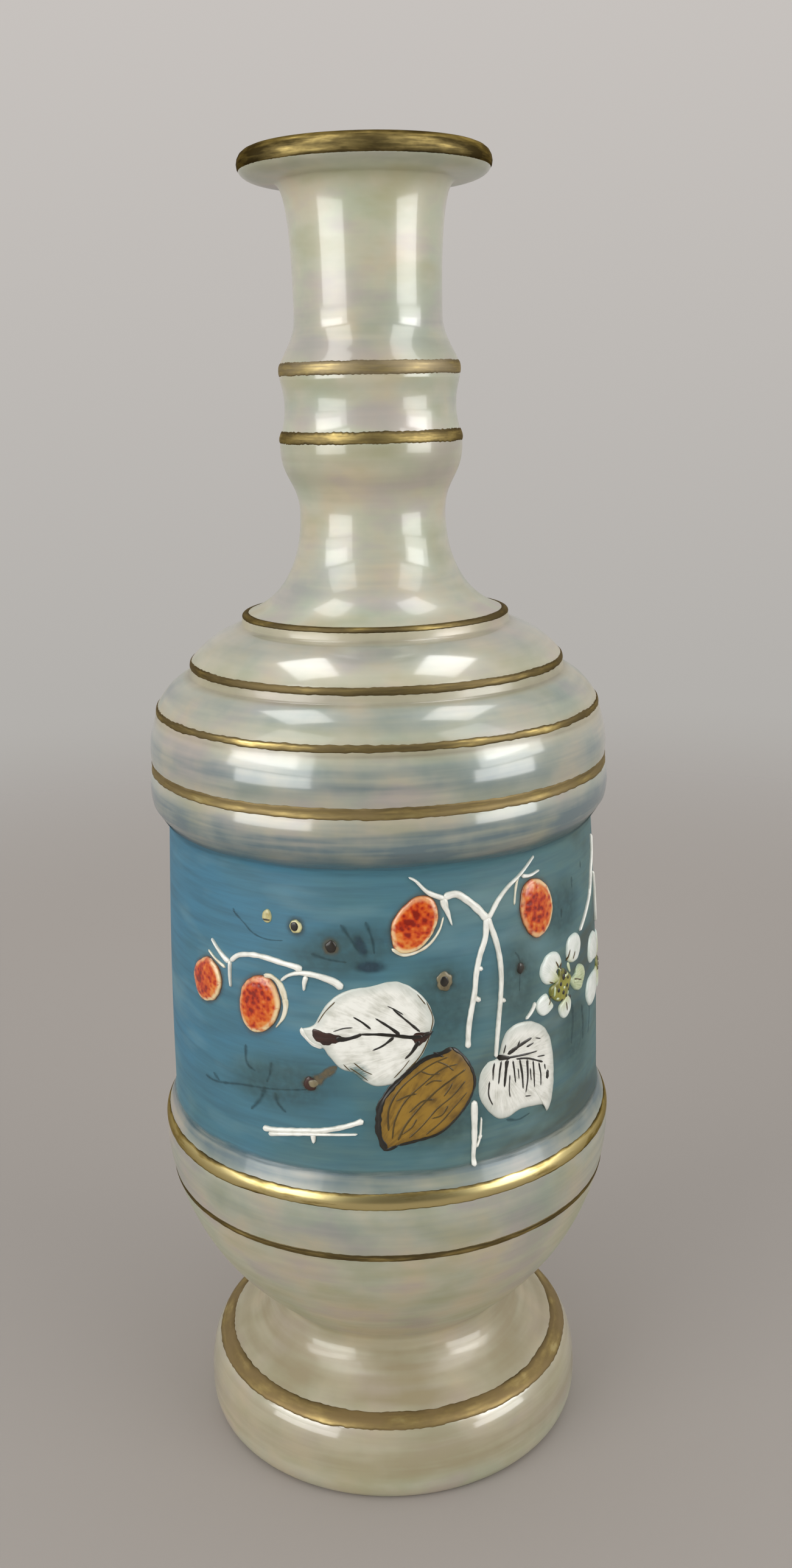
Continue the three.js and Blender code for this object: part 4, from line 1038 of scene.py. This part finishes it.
stemLook = {"relief": 0.5, "wobble": 0.16, "over": ["leafWhiteLeft", "leafWhiteRight"]}
for name, strokes in stems.items():
    shape = newShape()
    for number, (points, start, end, knobs) in enumerate(strokes):
        addStroke(shape, points, start, end, stemLook["relief"], stemLook["over"], stemLook["wobble"], knobs,
                  seed=number + len(name))
    finishPaint(shape, name, whiteEnamel, [nodeOf(name)])

# Cream sepals that hug the berries.
liningPiece("berrySepals", [
    ([(-35.9, 36.7), (-33.8, 35.5), (-31.1, 34.5)], 0.35, 0.65),
    ([(-22.1, 35.1), (-20.4, 35.0), (-18.9, 33.9), (-18.1, 32.0), (-17.9, 30.8)], 0.8, 1.3),
    ([(-18.0, 31.6), (-17.8, 29.9), (-18.4, 27.7), (-19.9, 25.5)], 1.3, 0.3),
    ([(1.4, 41.5), (3.3, 40.3), (5.9, 40.7), (8.1, 42.0), (9.8, 44.2), (10.6, 46.5)], 0.75, 0.3),
    ([(25.7, 51.1), (25.1, 49.0), (24.7, 46.3)], 0.6, 0.3),
], creamEnamel, [*berries, "stemMiddle", "stemLeft"], relief=0.3)
print("stems painted:", len(stems))

# Blossoms: slot, paint and outline. The paint thins to green towards the heart.
petals = {
    "blossomPetal1": ("white_enamel", petalEnamel, [
        (34.5, 35.0), (36.0, 34.1), (36.7, 32.5), (35.6, 31.6), (35.1, 30.6), (35.8, 29.1), (34.1, 28.9),
        (31.8, 29.5), (30.5, 31.2), (30.5, 32.6), (31.3, 34.0), (32.7, 35.0),
    ]),
    "blossomPetal2": ("white_enamel", petalEnamel, [
        (42.3, 36.2), (43.9, 35.0), (44.4, 33.3), (43.7, 31.8), (42.5, 30.8), (40.5, 30.9), (38.9, 31.8),
        (38.5, 33.5), (38.8, 35.1), (39.9, 36.1),
    ]),
    "blossomPetal3": ("green_enamel", paleGreenEnamel, [
        (43.6, 29.6), (45.7, 28.4), (46.3, 26.7), (45.2, 25.4), (44.2, 24.4), (42.2, 24.7), (40.3, 26.2),
        (39.6, 27.8), (41.4, 28.3), (42.2, 29.2),
    ]),
    "blossomPetal4": ("white_enamel", petalEnamel, [
        (31.9, 27.7), (32.7, 26.5), (33.9, 24.8), (33.0, 23.9), (31.6, 23.5), (30.5, 23.8), (29.4, 25.0),
        (29.1, 26.2), (30.1, 27.2),
    ]),
    "blossomPetal5": ("white_enamel", petalEnamel, [
        (36.8, 24.5), (38.4, 25.2), (39.7, 23.9), (39.5, 22.2), (38.3, 21.1), (36.9, 21.1), (35.7, 22.5),
        (35.6, 23.8),
    ]),
    "blossomHeart": ("green_enamel", greenEnamel, [
        (36.1, 31.1), (37.5, 30.8), (39.0, 29.6), (40.1, 28.3), (39.3, 26.9), (38.6, 25.4), (37.3, 24.5),
        (34.9, 25.2), (33.1, 26.8), (33.0, 28.3), (34.8, 28.9), (35.6, 29.9),
    ]),
    "sideBlossomPetal1": ("white_enamel", petalEnamel, [
        (48.7, 29.6), (50.2, 32.4), (53.8, 32.5), (56.8, 30.4), (58.3, 27.6), (57.7, 26.2), (55.4, 26.3),
        (52.4, 27.0), (49.8, 27.4),
    ]),
    "sideBlossomPetal2": ("white_enamel", petalEnamel, [
        (46.9, 21.8), (48.0, 24.2), (51.0, 24.8), (54.6, 24.3), (57.3, 23.9), (57.5, 22.5), (55.6, 20.4),
        (52.4, 18.8), (48.9, 19.0),
    ]),
    "sideBlossomPetal3": ("white_enamel", petalEnamel, [
        (60.4, 28.4), (62.4, 29.6), (64.8, 28.2), (64.6, 25.6), (62.2, 24.4), (60.2, 25.6),
    ]),
    "sideBlossomPetal4": ("white_enamel", petalEnamel, [
        (60.0, 21.6), (62.0, 22.4), (64.0, 20.8), (63.6, 18.4), (61.4, 17.6), (59.4, 19.0),
    ]),
    "sideBlossomHeart": ("green_enamel", greenEnamel, [
        (58.0, 25.8), (60.0, 25.2), (60.4, 23.4), (59.0, 22.2), (57.0, 22.8), (56.8, 24.8),
    ]),
}
petalLook = {
    "relief": 0.5, "rings": 12, "ridge": 0.05, "spacing": 0.25, "ragged": (0.08, 1.2), "seed": 40, "ridgeSeed": 60,
    "thinRadius": 4.6,
}
hearts = {"blossom": (37.0, 28.0), "side": (58.6, 24.0)}
for number, (name, (slot, paint, outline)) in enumerate(petals.items()):
    heart = hearts["side" if name.startswith("side") else "blossom"]
    rim = smoothCurve(outline, petalLook["spacing"], closed=True)
    rim = ragged(rim, *petalLook["ragged"], petalLook["seed"] + number)
    spread = {"fan": heart, "thin": (*heart, petalLook["thinRadius"])} if "Petal" in name else {}
    daubPiece(name, rim, petalLook["relief"], petalLook["rings"], paint, slot, [nodeOf(name)],
              ridge=petalLook["ridge"], seed=petalLook["ridgeSeed"] + number, **spread)
heartSpots = {
    "blossomSpots": [
        ((37.7, 30.1), 0.42), ((36.7, 26.4), 0.36), ((35.9, 28.3), 0.34), ((34.9, 31.1), 0.3), ((38.0, 27.4), 0.3),
        ((39.7, 24.4), 0.34), ((38.4, 28.8), 0.25), ((36.4, 24.9), 0.25), ((36.9, 29.4), 0.5), ((35.2, 27.3), 0.35),
        ((38.9, 26.3), 0.3), ((37.8, 25.4), 0.3), ((34.2, 27.8), 0.28),
    ],
    "sideBlossomSpots": [((58.4, 25.0), 0.4), ((59.3, 23.5), 0.35), ((57.8, 23.2), 0.35)],
}
spotLook = {
    "relief": 0.12, "rings": 5, "spacing": 0.2, "tall": 1.2,
    "over": ["blossomHeart", "blossomPetal1", "sideBlossomHeart"],
}
for name, spots in heartSpots.items():
    shape = newShape()
    for middle, radius in spots:
        rim = ovalRim(middle, (radius, radius * spotLook["tall"]), spacing=spotLook["spacing"])
        addDaub(shape, rim, spotLook["relief"], spotLook["rings"], spotLook["over"])
    finishPaint(shape, name, blackEnamel)
blossomPieces = [name for name in petals if name.startswith("blossom")]
liningPiece("blossomStamens", [
    ([(39.0, 31.4), (39.9, 29.2)], 0.95, 0.6), ([(36.4, 30.8), (35.4, 31.8)], 0.4, 0.3),
    ([(37.0, 29.4), (38.6, 29.6)], 0.6, 0.4), ([(34.2, 28.4), (33.9, 26.4)], 0.6, 0.4),
    ([(36.9, 27.6), (37.0, 27.0)], 0.7, 0.5), ([(38.4, 26.2), (38.2, 25.2)], 0.6, 0.4),
    ([(40.6, 27.2), (42.4, 26.8)], 0.8, 0.5), ([(35.4, 25.6), (34.6, 25.8)], 0.5, 0.4),
], paleGreenEnamel, blossomPieces, relief=0.18)
liningPiece("blossomLines", [
    ([(35.6, 31.4), (34.5, 33.2)], 0.35, 0.2), ([(38.5, 31.8), (39.4, 33.9)], 0.35, 0.2),
    ([(40.4, 31.6), (41.2, 33.0)], 0.25, 0.2), ([(33.6, 26.8), (32.2, 25.4)], 0.35, 0.2),
    ([(37.6, 24.2), (37.9, 22.4)], 0.35, 0.2), ([(40.8, 27.6), (43.8, 26.4)], 0.35, 0.2),
    ([(36.4, 30.6), (36.9, 32.2)], 0.5, 0.3), ([(34.0, 29.0), (32.6, 29.8)], 0.35, 0.2),
], oliveLining, blossomPieces, relief=0.12)

# Dots in the ground: slot, middle, paint and half sizes, then the centre's offset and half
# sizes, and the wash round it.
dots = {
    "dotPale": ("gold_enamel", (-21.2, 46.1), paleGold, (0.95, 1.3), (0, -0.6), (0.75, 0.16), None),
    "dotGold": ("gold_enamel", (-15.5, 44.9), paleGold, (1.2, 1.25), (-0.2, 0.05), (0.75, 0.85), smokeWash),
    "dotDarkLeft": ("dark_enamel", (-9.2, 41.8), blackEnamel, (0.95, 1.05), None, None, tailWash),
    "dotDarkMiddle": ("dark_enamel", (10.5, 34.8), dustyEnamel, (1.4, 1.8), (-0.1, 0.1), (0.75, 0.95), smokeWash),
    "dotDarkRight": ("dark_enamel", (25.7, 34.3), blackEnamel, (0.75, 1.05), None, None, smokeWash),
}
dotLook = {
    "round": (0.35, 8, 3), "centre": (0.1, 6, 4),  # relief, rings and crown
    "spacing": 0.2, "halo": 1.1, "ragged": (0.25, 0.9), "seed": 80, "centreRagged": (0.1, 0.6), "centreSeed": 90,
}


def dotPiece(name, middle, halves, shake, seed, paint, slot, nodes=(), below=()):
    rim = ragged(ovalRim(middle, halves, spacing=dotLook["spacing"]), *shake, seed)
    relief, rings, crown = dotLook["centre" if below else "round"]
    daubPiece(name, rim, relief, rings, paint, slot, nodes, below=below, crown=crown)


for number, (name, (slot, middle, paint, halves, offset, centreHalves, wash)) in enumerate(dots.items()):
    if wash:
        washPiece(name + "Halo", [ovalRim(middle, [half + dotLook["halo"] for half in halves])], wash)
    dotPiece(name, middle, halves, dotLook["ragged"], dotLook["seed"] + number, paint, slot, [nodeOf(name)])
    if offset:
        centre = (middle[0] + offset[0], middle[1] + offset[1])
        dotPiece(name + "Centre", centre, centreHalves, dotLook["centreRagged"], dotLook["centreSeed"] + number,
                 blackEnamel, "dark_enamel", below=[name])

bud = {
    "middle": (-13.6, 15.8), "halves": (1.15, 1.35), "halo": (1.9, 1.8),
    "shine": (-12.9, 16.0), "shineHalves": (0.85, 0.7),
    "ragged": (0.2, 0.9), "seed": 99, "shineRagged": (0.2, 0.7), "shineSeed": 98,
    "tail": ([(-13.0, 15.9), (-11.2, 17.5), (-8.6, 19.6)], 3.0),
}
washPiece("budHalo", [ovalRim(bud["middle"], bud["halo"])], tailWash, [bud["tail"]])
dotPiece("budGold", bud["middle"], bud["halves"], bud["ragged"], bud["seed"], brownEnamel, "gold_enamel",
         ["bud_gold"])
dotPiece("budHighlight", bud["shine"], bud["shineHalves"], bud["shineRagged"], bud["shineSeed"], dustyEnamel,
         "gold_enamel", below=["budGold"])
print("spray painted:", len(painted), "shapes")

# Camera, fitted to the photograph's rings: 15 degrees down, with a small yaw and roll.
view = {
    "place": (0.0, -0.2809, 0.2094), "pitch": 15.0, "yaw": 0.66, "roll": -1.23,
    "focalPixels": 2434, "longSidePixels": 2576, "sensor": 36.0, "clipStart": 0.01,
}
pitch, yaw, roll = (math.radians(view[key]) for key in ("pitch", "yaw", "roll"))
forward = Vector((math.sin(yaw) * math.cos(pitch), math.cos(yaw) * math.cos(pitch), -math.sin(pitch)))
right = Vector((math.cos(yaw), -math.sin(yaw), 0))
upward = right.cross(forward)
rolledRight = right * math.cos(roll) + upward * math.sin(roll)
rolledUp = upward * math.cos(roll) - right * math.sin(roll)
cameraData = bpy.data.cameras.new("camera")
cameraData.sensor_width = view["sensor"]
cameraData.lens = view["focalPixels"] * view["sensor"] / view["longSidePixels"]
cameraData.clip_start = view["clipStart"]
camera = bpy.data.objects.new("camera", cameraData)
facing = Matrix((rolledRight, rolledUp, -forward)).transposed().to_4x4()
camera.matrix_world = Matrix.Translation(view["place"]) @ facing
bpy.context.scene.collection.objects.link(camera)
bpy.context.scene.camera = camera

# Studio: soft light from both sides, windows that only the gloss shows, and a pale floor that
# runs out into a pale backdrop.
studio = {
    "backdrop": "#c8c3bf", "lowBackdrop": "#b3b0ac", "room": "#5d5b57", "floor": "#a9a29c", "ambient": 0.75,
    "roof": 1.15, "fadeStart": 0.30, "fadeEnd": 0.75, "floorSize": 0.9, "daylight": (1.0, 0.995, 0.975),
    "roomFrom": (-0.1, -0.6), "backdropRise": (-0.2, 0.25),
}
# Each lamp's angle to the right of the front in degrees, its foot, top, width and distance from
# the axis in metres, and its radiance. Daylight lights the surfaces, the others only their gloss.
lamps = {
    "lowPaneLeft": (-52, 0.02, 0.29, 0.80, 1.1, 3.6),
    "windowLeft": (-55, 0.31, 0.70, 0.93, 1.1, 3.0),
    "windowLeftBright": (-58, 0.44, 0.68, 0.70, 1.08, 3.0),
    "highPaneLeft": (-50, 0.76, 1.7, 0.85, 1.1, 3.0),
    "lowPaneRight": (62, 0.02, 0.29, 0.66, 1.1, 4.0),
    "windowRight": (68, 0.31, 0.70, 0.76, 1.1, 3.4),
    "windowRightBright": (66, 0.44, 0.68, 0.50, 1.08, 4.0),
    "highPaneRight": (58, 0.76, 1.7, 0.70, 1.1, 3.0),
    "roofLeft": (-108, 0, 0.55, 0.34, 0.44, 6.0),
    "roofRight": (108, 0, 0.55, 0.34, 0.44, 6.0),
    "daylightLeft": (-50, 0.1, 1.1, 0.9, 1.2, 2.35),
    "daylightRight": (55, 0.1, 1.1, 0.9, 1.2, 1.7),
}
for name, (azimuth, low, high, width, away, radiance) in lamps.items():
    turn = math.radians(azimuth)
    aim = Vector((math.sin(turn), -math.cos(turn), 0))
    lamp = bpy.data.lights.new(name, "AREA")
    lamp.shape = "RECTANGLE"
    lamp.size, lamp.size_y = width, high - low
    lamp.energy = radiance * math.pi * lamp.size * lamp.size_y
    lamp.color = studio["daylight"]
    window = bpy.data.objects.new(name, lamp)
    window.location = aim * away + Vector((0, 0, (high + low) / 2))
    window.rotation_euler = aim.to_track_quat("Z", "Y").to_euler()
    if name.startswith("roof"):
        window.location.z = studio["roof"]
        window.rotation_euler = (0, 0, 0)
    window.visible_camera = False
    window.visible_transmission = False
    window.visible_diffuse = name.startswith("daylight")
    window.visible_glossy = not name.startswith("daylight")
    bpy.context.scene.collection.objects.link(window)

world = bpy.data.worlds.new("studioRoom")
bpy.context.scene.world = world
world.use_nodes = True
world.cycles.sampling_method = "NONE"
tree = world.node_tree
tree.nodes.clear()
cameraRay, glossyRay, throughRay = (
    addNode(tree, "LightPath", out=f"Is {kind} Ray") for kind in ("Camera", "Glossy", "Transmission")
)
direction = addNode(tree, "TexCoord")
depth, height = (addNode(tree, "SeparateXYZ", (direction,), axis) for axis in ("Y", "Z"))
roomAmount = addNode(tree, "MapRange", (depth, *studio["roomFrom"]))
roomAmount = addNode(tree, "Math", (roomAmount, glossyRay), operation="MULTIPLY")
seen = linearColour(studio["lowBackdrop"])
paler = addNode(tree, "MapRange", (height, *studio["backdropRise"]))
for amount, tint in ((paler, "backdrop"), (roomAmount, "room")):
    seen = addNode(tree, "Mix", {0: amount, 6: seen, 7: linearColour(studio[tint])}, 2, data_type="RGBA")
seenLight = addNode(tree, "Background", (seen,))
ambient = addNode(tree, "Background", ((1, 1, 1, 1), studio["ambient"]))
direct = addNode(tree, "Math", (cameraRay, glossyRay), operation="MAXIMUM")
direct = addNode(tree, "Math", (direct, throughRay), operation="MAXIMUM")
addNode(tree, "OutputWorld", (addNode(tree, "MixShader", (direct, ambient, seenLight)),))


def studioFloor():
    material, tree, shader, place = startMaterial("paleMattPaper", {
        "Roughness": 0.9, "Base Color": linearColour(studio["floor"]), "Specular IOR Level": 0.2,
    })
    away = addNode(tree, "VectorMath", (place,), "Value", operation="LENGTH")
    fillSockets(tree, shader, {"Alpha": addNode(
        tree, "MapRange", (away, studio["fadeEnd"], studio["fadeStart"]), interpolation_type="SMOOTHSTEP",
    )})
    mesh = bpy.data.meshes.new("studioFloor")
    half = studio["floorSize"]
    mesh.from_pydata([(-half, -half, 0), (half, -half, 0), (half, half, 0), (-half, half, 0)], [], [(0, 1, 2, 3)])
    mesh.materials.append(material)
    floor = bpy.data.objects.new("studioFloor", mesh)
    bpy.context.scene.collection.objects.link(floor)


studioFloor()
bpy.context.scene.view_settings.view_transform = "Standard"
print("studio lit")
